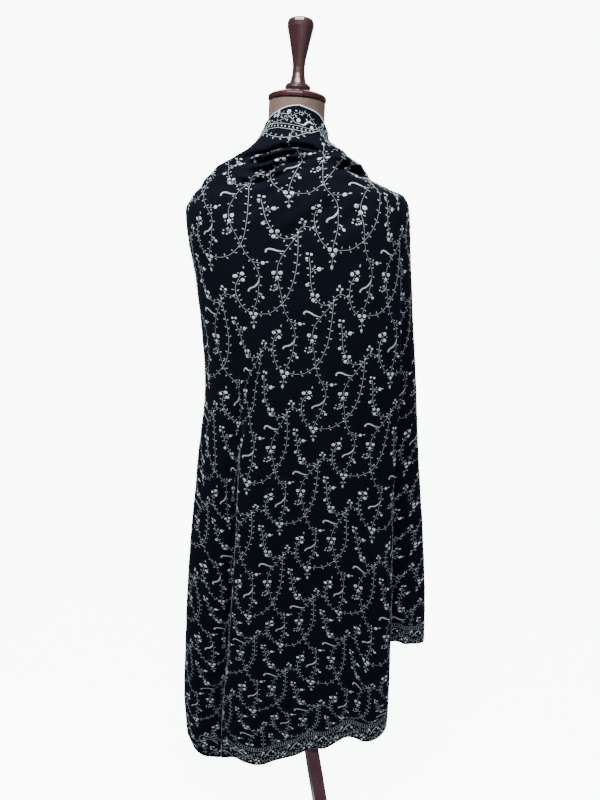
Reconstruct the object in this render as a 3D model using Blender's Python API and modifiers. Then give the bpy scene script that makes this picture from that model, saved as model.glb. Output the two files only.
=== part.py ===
"""Pashmina shawl draped over a limbless dress form on a turned pole and a tripod.

Metres, +Z up, standing on z = 0. The form's back faces -Y, so the wide back panel
of the shawl faces -Y and its two ends cross on the +Y side.
"""
import math

import bmesh
import bpy
import numpy as np

# ---------------------------------------------------------------- driving sizes
CENTRE_X = -0.0087         # moves the model so that its box is centred on the origin
CENTRE_Y = 0.0300

WALL = 0.0020              # thickness of the cloth
SEAM = 0.0007              # gap between neighbouring stretches of the cloth
NECK_SEAM = 0.0014         # gap below the stretch that stands round the neck
ROUND_SEAM = 0.0006        # more of it where the cloth turns, so that the inside stays apart
REST_GAP = 0.0007          # gap between the cloth and the shoulders that carry it
SHOULDER_CLEAR = 0.0120    # more gap behind the tops of the shoulders
RIGHT_CLEAR = 0.0020       # more gap on the right shoulder, where the cloth is folded
CHEST_CLEAR = 0.0200       # more gap in front of them, where the two ends cross
FIT_GAP = 0.0003           # gap between hard pieces that touch

AXIS_X = -0.005            # the form's neck and pole stand on this line
NECK_RADIUS = 0.0505
NECK_BOTTOM = 1.3360
NECK_TOP = 1.4385
NECK_LEAN = math.radians(3.0)   # the neck, cap and finial lean to the right
CAP_RADIUS = 0.0520
CAP_HEIGHT = 0.0165
TORSO_BOTTOM = 0.7000
POLE_RADIUS = 0.0180
HUB_TOP = 0.3100
HUB_BOTTOM = 0.1700
HUB_RADIUS = 0.0340
LEG_THICKNESS = 0.0250
LEG_REACH = 0.2500
LEG_DIRECTIONS = (-75.0, 45.0, 165.0)

# Rings of the cloth from the neck edge down to the hem. "share" is the share of the
# way down the cloth, the four sizes are half widths from the form's axis plane, and
# "square" is 2 on an ellipse and more where the ring has a flatter back and corners.
LEVEL_COLUMNS = ("share", "z", "left", "right", "back", "front", "square")
LEVELS = (
    (0.000, 1.423, 0.0650, 0.0560, 0.0580, 0.084, 2.0),
    (0.025, 1.390, 0.0850, 0.0630, 0.0610, 0.090, 2.0),
    (0.045, 1.364, 0.1140, 0.0980, 0.0720, 0.098, 2.0),
    (0.065, 1.345, 0.1370, 0.1120, 0.0880, 0.106, 2.1),
    (0.082, 1.326, 0.1570, 0.1220, 0.1010, 0.114, 2.2),
    (0.098, 1.307, 0.1730, 0.1290, 0.1120, 0.120, 2.3),
    (0.112, 1.290, 0.1840, 0.1580, 0.1200, 0.125, 2.4),
    (0.125, 1.275, 0.1970, 0.1900, 0.1250, 0.129, 2.5),
    (0.142, 1.252, 0.2090, 0.2000, 0.1300, 0.133, 2.6),
    (0.175, 1.210, 0.2070, 0.2030, 0.1360, 0.136, 2.7),
    (0.240, 1.130, 0.1950, 0.2090, 0.1410, 0.140, 2.7),
    (0.380, 0.950, 0.1850, 0.2240, 0.1430, 0.143, 2.6),
    (0.520, 0.770, 0.2070, 0.2380, 0.1430, 0.148, 2.6),
    (0.680, 0.560, 0.2320, 0.2540, 0.1400, 0.154, 2.7),
    (0.830, 0.370, 0.2470, 0.2640, 0.1350, 0.160, 2.8),
    (0.930, 0.240, 0.2550, 0.2700, 0.1310, 0.162, 2.9),
    (1.000, 0.150, 0.2530, 0.2720, 0.1300, 0.162, 2.9),
)

# The deep folds where the back panel laps the sides, as places across the back.
LAP_COLUMNS = ("z", "left_x", "left_depth", "right_x", "right_depth")
LAPS = (
    (1.370, -0.045, 0.000, 0.030, 0.000),
    (1.330, -0.070, 0.000, 0.046, 0.000),
    (1.270, -0.095, 0.000, 0.110, 0.000),
    (1.210, -0.102, 0.000, 0.178, 0.003),
    (1.060, -0.104, 0.000, 0.189, 0.012),
    (0.920, -0.106, 0.006, 0.195, 0.020),
    (0.800, -0.122, 0.018, 0.198, 0.028),
    (0.620, -0.137, 0.032, 0.200, 0.044),
    (0.410, -0.157, 0.040, 0.203, 0.054),
    (0.240, -0.175, 0.038, 0.203, 0.058),
    (0.150, -0.180, 0.034, 0.201, 0.056),
)
LAP_WIDTH = 0.017          # half width of such a fold

# Height of the hem against the place round the cloth: -1 and 1 are the middle of
# the front, 0 the middle of the back.
HEM_COLUMNS = ("place", "z")
HEM = (
    (-1.18, 0.170), (-0.80, 0.150), (-0.55, 0.137), (-0.42, 0.148), (-0.37, 0.144),
    (-0.344, 0.120), (-0.31, 0.098), (-0.272, 0.090), (-0.242, 0.128), (-0.206, 0.133),
    (-0.176, 0.124), (-0.147, 0.122), (-0.120, 0.122), (-0.088, 0.127), (-0.04, 0.143), (0.0, 0.152),
    (0.035, 0.161), (0.067, 0.164), (0.10, 0.178), (0.140, 0.188), (0.165, 0.184),
    (0.19, 0.177), (0.225, 0.178), (0.248, 0.186), (0.268, 0.206), (0.283, 0.270),
    (0.298, 0.348), (0.33, 0.371), (0.37, 0.361), (0.42, 0.354), (0.62, 0.310), (0.90, 0.235),
    (1.18, 0.215),
)

# How far the neck edge dips below its highest point, round the neck.
NECK_COLUMNS = ("place", "drop")
NECK_EDGE = (
    (-1.18, 0.078), (-0.80, 0.078), (-0.50, 0.040), (-0.345, 0.023), (-0.22, 0.010),
    (-0.085, 0.001), (-0.02, 0.000), (0.056, 0.004), (0.17, 0.013), (0.27, 0.032),
    (0.365, 0.050), (0.50, 0.059), (0.80, 0.078), (1.18, 0.078),
)
SIDE_DIP_ENDS = 0.11       # share of the way down at which the dip has faded out
FRONT_DIP_ENDS = 0.26      # the same at the front, where it is deepest

# Soft folds that fall down the sides and the front. "place" is as for the hem, and
# "swell" is how far a fold stands out, negative where it sinks in.
FALL_COLUMNS = ("place", "top", "swell", "width")
FALLS = (
    (-0.90, 1.20, 0.012, 0.024),
    (-0.80, 1.22, -0.012, 0.024),
    (-0.70, 1.24, 0.010, 0.024),
    (-0.56, 1.10, -0.009, 0.022),
    (-0.36, 0.80, 0.008, 0.024),
    (0.36, 1.00, -0.034, 0.052),
    (0.44, 1.10, 0.008, 0.022),
    (0.55, 1.20, -0.010, 0.024),
    (0.66, 1.24, 0.012, 0.025),
    (0.77, 1.24, -0.013, 0.025),
    (0.88, 1.22, 0.012, 0.025),
    (1.00, 1.20, -0.010, 0.025),
)

# Creases across the upper back, from the right of the neck to the left shoulder,
# and the pocket under the fold at the right of the neck.
CREASE_COLUMNS = ("x1", "z1", "x2", "z2", "sag", "swell", "width")
CREASES = (
    (0.052, 1.352, -0.130, 1.330, 0.004, 0.0060, 0.009),
    (0.050, 1.338, -0.125, 1.313, 0.004, -0.0050, 0.008),
    (0.030, 1.322, -0.170, 1.292, -0.002, 0.0045, 0.009),
    (0.066, 1.326, 0.112, 1.322, 0.003, -0.0095, 0.009),
    (0.050, 1.358, 0.104, 1.344, 0.000, 0.0120, 0.013),
)
CREASES_END = 0.060        # they have faded out this far in front of the form's axis plane
CREASES_FADE = 0.070

FALL_GROWS = 0.45          # a fold reaches its full swell this far below its top
HEM_STARTS = 0.45          # share of the way down from which the hem's slope shows
FRONT_STARTS = 0.62        # place round the cloth where the sides pass to the front
FRONT_ENDS = 1.14          # the two ends cross this far past the middle of the front
CROSS_STARTS = 0.76        # place at which the ends begin to part
CROSS_OFFSET = 0.0110      # one end lies this far outside the plain ring, one inside
CROSS_FULL = 0.20          # share of the way down where they are that far apart
NECK_CROSS = 0.4           # and the part of it that they are apart at the neck
NECK_WRAP_ENDS = 0.045     # share of the way down where the standing stretch ends

WRAP_ROWS = 5
WRAP_STEPS = 61
TORSO_STEPS = 40
FALL_ROWS = (0.045, 0.056, 0.066, 0.075, 0.084, 0.093, 0.102, 0.112, 0.125, 0.142, 0.175,
             0.240, 0.330, 0.430, 0.530, 0.630, 0.730, 0.830, 0.910, 0.965, 1.000)

SHOULDER_SHARES = (0.075, 0.084, 0.093, 0.102, 0.112, 0.125)

# Half widths of the torso of the form, which stays inside the cloth.
TORSO_COLUMNS = ("z", "side", "back", "front", "square")
TORSO = (
    (1.2050, 0.1760, 0.1060, 0.1080, 2.4),
    (1.1300, 0.1630, 0.1090, 0.1180, 2.3),
    (1.0400, 0.1430, 0.1020, 0.1080, 2.2),
    (0.9500, 0.1290, 0.0930, 0.0960, 2.2),
    (0.8700, 0.1420, 0.1010, 0.1010, 2.2),
    (0.7900, 0.1600, 0.1070, 0.1050, 2.2),
    (0.7300, 0.1580, 0.1040, 0.1020, 2.2),
)


# ---------------------------------------------------------------- small helpers
def column(table, columns, name):
    """One named column of a table as an array."""
    place = columns.index(name)
    return np.array([row[place] for row in table], dtype=float)


def glide(xs, ys, x):
    """Smooth curve through (xs, ys) that never swings past its points."""
    xs = np.asarray(xs, dtype=float)
    ys = np.asarray(ys, dtype=float)
    if xs[0] > xs[-1]:
        xs = xs[::-1]
        ys = ys[::-1]
    steps = np.diff(xs)
    slopes = np.diff(ys) / steps
    bends = np.zeros(len(xs))
    bends[0] = slopes[0]
    bends[-1] = slopes[-1]
    same_way = slopes[:-1] * slopes[1:] > 0
    total = np.where(same_way, slopes[:-1] + slopes[1:], 1.0)
    bends[1:-1] = np.where(same_way, 2.0 * slopes[:-1] * slopes[1:] / total, 0.0)
    x = np.clip(x, xs[0], xs[-1])
    spot = np.clip(np.searchsorted(xs, x) - 1, 0, len(steps) - 1)
    step = steps[spot]
    t = (x - xs[spot]) / step
    start = ys[spot] * (1 + 2 * t) * (1 - t) ** 2 + bends[spot] * step * t * (1 - t) ** 2
    end = ys[spot + 1] * (3 - 2 * t) * t ** 2 - bends[spot + 1] * step * (1 - t) * t ** 2
    return start + end


def ease(t):
    """0 below 0, 1 above 1, and smooth between."""
    t = np.clip(t, 0.0, 1.0)
    return t * t * (3 - 2 * t)


def bell(t):
    """Soft hump of height 1 and half width 1."""
    return np.exp(-t * t)


# ---------------------------------------------------------------- form of the cloth
def level(share):
    """Sizes of the cloth's ring at a share of the way down."""
    shares = column(LEVELS, LEVEL_COLUMNS, "share")
    names = LEVEL_COLUMNS[1:]
    return {name: glide(shares, column(LEVELS, LEVEL_COLUMNS, name), share) for name in names}


def outline(left, right, back, front, square):
    """Points round a ring, with the distance round it from the middle of the back."""
    angles = np.radians(np.linspace(-225.0, 225.0, 1801))
    sine = np.sin(angles)
    cosine = np.cos(angles)
    power = 2.0 / square
    x = np.sign(sine) * np.abs(sine) ** power * np.where(sine < 0, left, right)
    y = -np.sign(cosine) * np.abs(cosine) ** power * np.where(cosine > 0, back, front)
    along = np.concatenate(([0.0], np.cumsum(np.hypot(np.diff(x), np.diff(y)))))
    along -= along[len(along) // 2]
    return x, y, along


def ring_at(share):
    """Ring of the cloth with its outward directions, before any fold."""
    size = level(share)
    x, y, along = outline(size["left"], size["right"], size["back"], size["front"], size["square"])
    run_x = np.gradient(x, along)
    run_y = np.gradient(y, along)
    middle = len(along) // 2
    quarter = len(along) * 2 // 5
    half = {-1: -along[middle - quarter], 1: along[middle + quarter]}
    return {"x": x, "y": y, "along": along, "out_x": run_y, "out_y": -run_x,
            "half": half, "z": float(size["z"]), "middle": middle}


def distance_of(ring, x):
    """Distance round the ring to a place across its back."""
    quarter = len(ring["x"]) // 5
    back = slice(ring["middle"] - quarter, ring["middle"] + quarter + 1)
    return float(np.interp(x, ring["x"][back], ring["along"][back]))


def place_of(ring, distance):
    """Distance round the ring as a place from -1 to 1."""
    return np.where(distance < 0, distance / ring["half"][-1], distance / ring["half"][1])


def lap(ring, side):
    """Distance round the ring and depth of the lap on one side of the back panel."""
    name = {-1: "left", 1: "right"}[side]
    heights = column(LAPS, LAP_COLUMNS, "z")
    x = glide(heights, column(LAPS, LAP_COLUMNS, name + "_x"), ring["z"])
    depth = glide(heights, column(LAPS, LAP_COLUMNS, name + "_depth"), ring["z"])
    return distance_of(ring, float(x)), float(depth)


def crease_swell(x, z, y):
    """How far the creases of the upper back move the cloth out or in."""
    swell = np.zeros_like(x)
    for x1, z1, x2, z2, sag, height, width in CREASES:
        run = math.hypot(x2 - x1, z2 - z1)
        t = ((x - x1) * (x2 - x1) + (z - z1) * (z2 - z1)) / run ** 2
        across = ((z - z1) * (x2 - x1) - (x - x1) * (z2 - z1)) / run
        across = across * np.sign(x2 - x1) + sag * 4 * t * (1 - t)
        ends = ease((t + 0.18) / 0.36) * ease((1.18 - t) / 0.36)
        swell += height * bell(across / width) * ends
    return swell * ease((CREASES_END - y) / CREASES_FADE)


def height_of(ring, share, places):
    """Height of the cloth round a ring, with the dip at the neck and the uneven hem."""
    drop = glide(column(NECK_EDGE, NECK_COLUMNS, "place"),
                 column(NECK_EDGE, NECK_COLUMNS, "drop"), places)
    hem = glide(column(HEM, HEM_COLUMNS, "place"), column(HEM, HEM_COLUMNS, "z"), places)
    front = ease((np.abs(places) - 0.5) / 0.3)
    dip_ends = SIDE_DIP_ENDS + (FRONT_DIP_ENDS - SIDE_DIP_ENDS) * front
    dip = drop * (1 - ease(share / dip_ends))
    return ring["z"] - dip + (hem - LEVELS[-1][1]) * ease((share - HEM_STARTS) / (1 - HEM_STARTS))


def plain_row(ring, share, places):
    """Points round one ring of the cloth before any fold."""
    distances = np.where(places < 0, places * ring["half"][-1], places * ring["half"][1])
    x = np.interp(distances, ring["along"], ring["x"])
    y = np.interp(distances, ring["along"], ring["y"])
    return np.stack([x, y, height_of(ring, share, places)], axis=1)


def cloth_row(share, distances):
    """Outer points of the cloth at one share of the way down."""
    ring = ring_at(share)
    places = place_of(ring, distances)
    x, y, z = plain_row(ring, share, places).T
    out_x = np.interp(distances, ring["along"], ring["out_x"])
    out_y = np.interp(distances, ring["along"], ring["out_y"])
    size = np.hypot(out_x, out_y)
    out = crease_swell(x, z, y)
    for side in (-1, 1):
        middle, depth = lap(ring, side)
        out = out - depth * bell((distances - middle) / LAP_WIDTH)
    for place, top, swell, width in FALLS:
        grown = ease((top - z) / FALL_GROWS)
        out = out + swell * grown * bell((places - place) * ring["half"][1] / width)
    crossed = ease((np.abs(places) - CROSS_STARTS) / (1.0 - CROSS_STARTS))
    apart = CROSS_OFFSET * (NECK_CROSS + (1 - NECK_CROSS) * float(ease(share / CROSS_FULL)))
    out = out + np.sign(places) * apart * crossed
    return np.stack([x + out * out_x / size, y + out * out_y / size, z], axis=1)


def spread(start, end, count, crowd_start, crowd_end):
    """Numbers from start to end, crowded at the ends that hold a deep fold."""
    t = np.linspace(0.0, 1.0, count)
    if crowd_start and crowd_end:
        t = (1 - np.cos(math.pi * t)) / 2
    elif crowd_start:
        t = 1 - np.cos(math.pi * t / 2)
    elif crowd_end:
        t = np.sin(math.pi * t / 2)
    return start + (end - start) * t


def stretch_ends(ring, stretch):
    """Where a stretch of the cloth starts and ends round one ring."""
    left_lap = lap(ring, -1)[0]
    right_lap = lap(ring, 1)[0]
    left = ring["half"][-1]
    right = ring["half"][1]
    ends = {
        "shawl_front_left": (-FRONT_ENDS * left, -FRONT_STARTS * left),
        "shawl_left_side": (-FRONT_STARTS * left, left_lap),
        "shawl_back": (left_lap, right_lap),
        "shawl_right_side": (right_lap, FRONT_STARTS * right),
        "shawl_front_right": (FRONT_STARTS * right, FRONT_ENDS * right),
    }
    start, end = ends[stretch]
    turning = {"shawl_front_left": (0, 1), "shawl_left_side": (1, 0),
               "shawl_right_side": (0, 1), "shawl_front_right": (1, 0)}
    at_start, at_end = turning.get(stretch, (0, 0))
    return (start + SEAM / 2 + ROUND_SEAM / 2 * at_start,
            end - SEAM / 2 - ROUND_SEAM / 2 * at_end)


def grid_of(rows):
    """Vertices and faces of a grid of points, facing outward."""
    count = len(rows[0])
    points = [tuple(point) for row in rows for point in row]
    faces = []
    for upper in range(len(rows) - 1):
        for step in range(count - 1):
            a = upper * count + step
            faces.append((a, a + count, a + count + 1, a + 1))
    return points, faces


# ---------------------------------------------------------------- scene and looks
def clear_scene():
    for item in list(bpy.data.objects):
        bpy.data.objects.remove(item, do_unlink=True)


def new_collection(name):
    group = bpy.data.collections.new(name)
    bpy.context.scene.collection.children.link(group)
    return group


def new_material(name, color, roughness, metallic=0.0):
    material = bpy.data.materials.new(name)
    material.use_nodes = True
    shader = material.node_tree.nodes["Principled BSDF"]
    shader.inputs["Base Color"].default_value = (*color, 1.0)
    shader.inputs["Roughness"].default_value = roughness
    shader.inputs["Metallic"].default_value = metallic
    return material


def add_object(name, data, material, group, shift=(CENTRE_X, CENTRE_Y, 0.0)):
    item = bpy.data.objects.new(name, data)
    item.location = shift
    data.materials.clear()
    data.materials.append(material)
    group.objects.link(item)
    return item


def mesh_of(name, points, faces):
    mesh = bpy.data.meshes.new(name)
    mesh.from_pydata(points, [], faces)
    mesh.validate()
    mesh.shade_smooth()
    return mesh


# ---------------------------------------------------------------- the shawl
def add_cloth(name, rows, material, group):
    """A stretch of cloth: the outer face as a grid, thickened inward."""
    points, faces = grid_of(rows)
    item = add_object(name, mesh_of(name, points, faces), material, group)
    wall = item.modifiers.new("Wall", "SOLIDIFY")
    wall.thickness = WALL
    wall.offset = -1.0
    wall.use_even_offset = False
    return item


def add_fall(name, columns, crowd, material, group):
    """A stretch that hangs from the neck wrap to the hem."""
    rows = []
    for index, share in enumerate(FALL_ROWS):
        if index == 0:
            share = share + NECK_SEAM
        ring = ring_at(share)
        start, end = stretch_ends(ring, name)
        rows.append(cloth_row(share, spread(start, end, columns, *crowd)))
    return add_cloth(name, rows, material, group)


def add_neck_wrap(material, group):
    """The upper edge, which stands round the neck with its two ends crossed."""
    rows = []
    for share in np.linspace(0.0, NECK_WRAP_ENDS, WRAP_ROWS):
        ring = ring_at(share)
        ends = (-FRONT_ENDS * ring["half"][-1], FRONT_ENDS * ring["half"][1])
        rows.append(cloth_row(share, np.linspace(*ends, WRAP_STEPS)))
    return add_cloth("shawl_neck_wrap", rows, material, group)


def add_shawl(group):
    cloth = new_material("pashmina", (0.008, 0.010, 0.020), 0.85)
    add_neck_wrap(cloth, group)
    add_fall("shawl_back", 29, (True, True), cloth, group)
    add_fall("shawl_left_side", 17, (False, True), cloth, group)
    add_fall("shawl_right_side", 17, (True, False), cloth, group)
    add_fall("shawl_front_left", 14, (False, False), cloth, group)
    add_fall("shawl_front_right", 15, (False, False), cloth, group)


# ---------------------------------------------------------------- the dress form
def shoulder_row(share, count):
    """Ring of the form's shoulders, set under the plain form of the cloth."""
    ring = ring_at(share)
    turns = np.linspace(-1.0, 1.0, count, endpoint=False)
    here = plain_row(ring, share, turns)
    step = 0.004
    below = plain_row(ring_at(share + step), share + step, turns)
    beside = plain_row(ring, share, turns + 0.002)
    out = np.cross(beside - here, below - here)
    out = -out / np.linalg.norm(out, axis=1)[:, None]
    behind = ease((0.48 - np.abs(turns)) / 0.10)
    before = ease((np.abs(turns) - 0.52) / 0.16)
    right = RIGHT_CLEAR * ease((turns - 0.2) / 0.2)
    inset = WALL + REST_GAP + right + SHOULDER_CLEAR * behind + CHEST_CLEAR * before
    return [tuple(point) for point in here - out * inset[:, None]]


def torso_ring(z, left, right, back, front, square, count):
    x, y, along = outline(left, right, back, front, square)
    quarter = len(along) * 2 // 5
    middle = len(along) // 2
    turn = slice(middle - quarter, middle + quarter + 1)
    spots = np.linspace(along[turn][0], along[turn][-1], count, endpoint=False)
    return [(float(np.interp(s, along, x)), float(np.interp(s, along, y)), z) for s in spots]


def leaned(x, y, z):
    """A point of the leaning neck, given from its axis and its top."""
    return (AXIS_X + x * math.cos(NECK_LEAN) + z * math.sin(NECK_LEAN), y,
            NECK_TOP + z * math.cos(NECK_LEAN) - x * math.sin(NECK_LEAN))


def add_torso(group):
    """Limbless torso: smooth rings from the neck's foot to a flat underside."""
    linen = new_material("form_linen", (0.20, 0.15, 0.12), 0.85)
    count = TORSO_STEPS
    top = NECK_RADIUS + 0.0035
    foot = torso_ring(0.0, top, top, top, top, 2.0, count)
    rows = [[leaned(x, y, NECK_BOTTOM - FIT_GAP - NECK_TOP) for x, y, z in foot]]
    rows += [shoulder_row(share, count) for share in SHOULDER_SHARES]
    for z, side, back, front, square in TORSO:
        rows.append(torso_ring(z, side, side, back, front, square, count))
    last = TORSO[-1]
    rows.append(torso_ring(TORSO_BOTTOM, last[1] - 0.020, last[1] - 0.020,
                           last[2] - 0.018, last[3] - 0.018, last[4], count))
    mesh = bmesh.new()
    loops = [[mesh.verts.new(point) for point in row] for row in rows]
    for upper, lower in zip(loops, loops[1:]):
        for step in range(count):
            after = (step + 1) % count
            mesh.faces.new((upper[step], lower[step], lower[after], upper[after]))
    mesh.faces.new(loops[0])
    mesh.faces.new(list(reversed(loops[-1])))
    bmesh.ops.recalc_face_normals(mesh, faces=mesh.faces)
    data = bpy.data.meshes.new("form_torso")
    mesh.to_mesh(data)
    mesh.free()
    data.shade_smooth()
    data.set_sharp_from_angle(angle=math.radians(50))
    add_object("form_torso", data, linen, group)
    return linen


def add_turned(name, profile, material, group, sides):
    """A turned piece: radius and height pairs from its top centre to its foot."""
    points = [(radius, 0.0, z) for radius, z in profile]
    edges = [(step, step + 1) for step in range(len(points) - 1)]
    mesh = bpy.data.meshes.new(name)
    mesh.from_pydata(points, edges, [])
    item = add_object(name, mesh, material, group, (CENTRE_X + AXIS_X, CENTRE_Y, 0.0))
    turn = item.modifiers.new("Turn", "SCREW")
    turn.steps = sides
    turn.render_steps = sides
    turn.use_merge_vertices = True
    turn.merge_threshold = 0.0001
    turn.use_smooth_shade = True
    return item


def add_leaning(name, profile, material, group, sides):
    """A turned piece on the leaning neck, with its heights given from the neck's top."""
    item = add_turned(name, profile, material, group, sides)
    item.location.z = NECK_TOP
    item.rotation_euler = (0.0, NECK_LEAN, 0.0)


def add_neck(linen, group):
    bottom = NECK_BOTTOM - NECK_TOP
    profile = ((0.0, -FIT_GAP), (NECK_RADIUS - 0.002, -FIT_GAP), (NECK_RADIUS, -0.003),
               (NECK_RADIUS, -0.040), (NECK_RADIUS, bottom + 0.004),
               (NECK_RADIUS - 0.001, bottom), (0.0, bottom))
    add_leaning("form_neck", profile, linen, group, 36)


def add_cap_and_finial(wood, group):
    top = CAP_HEIGHT
    cap = ((0.0, top), (0.0240, top), (0.0300, top - 0.0012), (0.0400, top - 0.0036),
           (0.0480, top - 0.0066), (0.0510, top - 0.0086), (CAP_RADIUS, top - 0.0110),
           (CAP_RADIUS, 0.0012), (CAP_RADIUS - 0.0012, 0.0), (0.0, 0.0))
    add_leaning("neck_cap", cap, wood, group, 36)
    foot = top + FIT_GAP
    finial = ((0.0, foot + 0.1150), (0.0170, foot + 0.1150), (0.0215, foot + 0.1125),
              (0.0231, foot + 0.1080), (0.0228, foot + 0.1010), (0.0199, foot + 0.0885),
              (0.0151, foot + 0.0660), (0.0118, foot + 0.0500), (0.0107, foot + 0.0380),
              (0.0111, foot + 0.0280), (0.0128, foot + 0.0190), (0.0145, foot + 0.0130),
              (0.0195, foot + 0.0112), (0.0224, foot + 0.0078), (0.0228, foot + 0.0045),
              (0.0215, foot + 0.0006), (0.0200, foot), (0.0, foot))
    add_leaning("neck_finial", finial, wood, group, 28)


# ---------------------------------------------------------------- the stand
def add_pole_and_hub(wood, group):
    top = TORSO_BOTTOM - FIT_GAP
    foot = HUB_TOP + FIT_GAP
    r = POLE_RADIUS
    pole = ((0.0, top), (0.0380, top), (0.0400, top - 0.004), (0.0390, top - 0.012),
            (0.0240, top - 0.022), (r, top - 0.040), (r, top - 0.120), (r + 0.004, top - 0.130),
            (r, top - 0.140), (r, foot + 0.060), (r + 0.004, foot + 0.050), (r, foot + 0.040),
            (r, foot), (0.0, foot))
    add_turned("stand_pole", pole, wood, group, 20)
    h = HUB_RADIUS
    hub = ((0.0, HUB_TOP), (0.0220, HUB_TOP), (0.0300, HUB_TOP - 0.010), (h, HUB_TOP - 0.020),
           (h, HUB_BOTTOM + 0.022), (0.0260, HUB_BOTTOM + 0.012), (0.0120, HUB_BOTTOM),
           (0.0, HUB_BOTTOM))
    add_turned("stand_hub", hub, wood, group, 24)


def leg_outline():
    """Side view of a swept leg: distance out from the pole against height."""
    start = HUB_RADIUS + FIT_GAP
    upper = ((start, 0.278), (0.060, 0.246), (0.088, 0.204), (0.112, 0.170), (0.132, 0.146),
             (0.160, 0.118), (0.190, 0.084), (0.214, 0.050), (0.232, 0.028), (LEG_REACH, 0.018))
    lower = ((LEG_REACH, 0.005), (LEG_REACH - 0.004, 0.0), (0.210, 0.0), (0.198, 0.014),
             (0.176, 0.048), (0.148, 0.080), (0.118, 0.110), (0.092, 0.142),
             (0.066, 0.180), (start, 0.212))
    return upper + lower


def add_legs(wood, group):
    curve = bpy.data.curves.new("stand_leg", "CURVE")
    curve.dimensions = "2D"
    curve.fill_mode = "BOTH"
    bevel = 0.0022
    curve.extrude = LEG_THICKNESS / 2 - bevel
    curve.bevel_depth = bevel
    curve.bevel_resolution = 0
    curve.offset = -bevel
    points = leg_outline()
    line = curve.splines.new("POLY")
    line.points.add(len(points) - 1)
    for spot, (out, z) in zip(line.points, points):
        spot.co = (out, z, 0.0, 1.0)
    line.use_cyclic_u = True
    shape = bpy.data.objects.new("leg_guide", curve)
    group.objects.link(shape)
    graph = bpy.context.evaluated_depsgraph_get()
    data = bpy.data.meshes.new_from_object(shape.evaluated_get(graph))
    bpy.data.objects.remove(shape, do_unlink=True)
    body = bmesh.new()
    body.from_mesh(data)
    bmesh.ops.remove_doubles(body, verts=body.verts, dist=0.00001)
    bmesh.ops.recalc_face_normals(body, faces=body.faces)
    body.to_mesh(data)
    body.free()
    for number, direction in enumerate(LEG_DIRECTIONS, start=1):
        leg = add_object("stand_leg_%d" % number, data, wood, group,
                         (CENTRE_X + AXIS_X, CENTRE_Y, 0.0))
        leg.rotation_euler = (math.radians(90), 0.0, math.radians(direction))


def main():
    clear_scene()
    group = new_collection("shawl_on_dress_form")
    wood = new_material("mahogany", (0.045, 0.018, 0.014), 0.30)
    add_shawl(group)
    linen = add_torso(group)
    add_neck(linen, group)
    add_cap_and_finial(wood, group)
    add_pole_and_hub(wood, group)
    add_legs(wood, group)


main()
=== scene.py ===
"""Looks of a pashmina shawl draped over a limbless dress form on a turned stand.

The cloth is one thin sheet on the form of its solids, with finer folds, and its vine
embroidery is raised thread laid on that sheet. Metres, +Z up, the form's back faces -Y.
"""
import math

import bpy
import numpy as np
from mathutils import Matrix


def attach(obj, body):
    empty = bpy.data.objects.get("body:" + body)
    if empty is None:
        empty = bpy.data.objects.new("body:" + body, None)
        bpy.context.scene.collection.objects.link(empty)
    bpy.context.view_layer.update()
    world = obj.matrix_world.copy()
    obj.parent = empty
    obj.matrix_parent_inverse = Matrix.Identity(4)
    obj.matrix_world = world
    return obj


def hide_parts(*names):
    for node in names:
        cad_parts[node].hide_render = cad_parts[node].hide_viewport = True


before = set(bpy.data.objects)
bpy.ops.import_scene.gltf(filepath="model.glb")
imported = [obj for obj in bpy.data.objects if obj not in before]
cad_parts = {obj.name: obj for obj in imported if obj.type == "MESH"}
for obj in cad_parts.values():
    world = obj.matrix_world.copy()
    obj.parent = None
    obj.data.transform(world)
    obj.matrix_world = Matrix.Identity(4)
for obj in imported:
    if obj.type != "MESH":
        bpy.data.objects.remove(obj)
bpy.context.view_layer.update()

RNG = np.random.default_rng(11)

# ---------------------------------------------------------------- camera
CENTRE_X = -0.0087
CENTRE_Y = 0.0300
CAMERA_PLACE = (CENTRE_X, -1.2100, 1.2200)
CAMERA_DOWN = math.radians(15.0)
CAMERA_LENS = 28.8
CAMERA_SENSOR = 36.0
PHOTO_WIDE = 600           # the photo's size in pixels
PHOTO_HIGH = 800

# ---------------------------------------------------------------- looks
WOOL_DARK = (0.0018, 0.0023, 0.0045)
WOOL_LIGHT = (0.0043, 0.0052, 0.0094)
WOOL_SHEEN = 0.02
THREAD_DARK = (0.16, 0.19, 0.21)
THREAD_MIDDLE = (0.36, 0.43, 0.465)
THREAD_LIGHT = (0.62, 0.71, 0.75)
WORLD_STRENGTH = 0.13
FLOOR_GLOW = 9.5
WHITE = (1.0, 1.0, 1.0)
# Columns: name, place, aim, power, size, colour.
LIGHTS = (
    ("key", (-1.6, -2.2, 3.0), (0.0, 0.0, 0.9), 9.0, (1.6, 1.6), (1.0, 0.99, 0.97)),
    ("fill", (2.0, -1.8, 1.6), (0.0, 0.0, 0.8), 4.0, (1.4, 1.8), (0.93, 0.96, 1.0)),
    ("top", (-0.15, -0.68, 2.30), (0.0, 0.0, 1.2), 54.0, (0.9, 0.9), WHITE),
    ("back", (0.4, 2.4, 2.4), (0.0, 0.0, 0.9), 26.0, (1.8, 1.8), WHITE),
    ("strip", (-0.42, -2.9, 1.5), (0.0, 0.0, 1.4), 5.0, (0.22, 2.0), WHITE),
    ("strip", (0.42, -2.9, 1.5), (0.0, 0.0, 1.4), 5.0, (0.22, 2.0), WHITE),
)
# The studio's floor, from well in front of the object to the top of the sweep behind it.
STAGE_HALF = 9.0
STAGE_BEND = 2.0
STAGE_RADIUS = 3.0
STAGE_STEPS = 18
WOOD_DARK = (0.022, 0.0062, 0.0082)
WOOD_LIGHT = (0.048, 0.0150, 0.0185)
STAND_DARK = (0.040, 0.0155, 0.0215)
STAND_LIGHT = (0.078, 0.0340, 0.0450)

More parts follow.
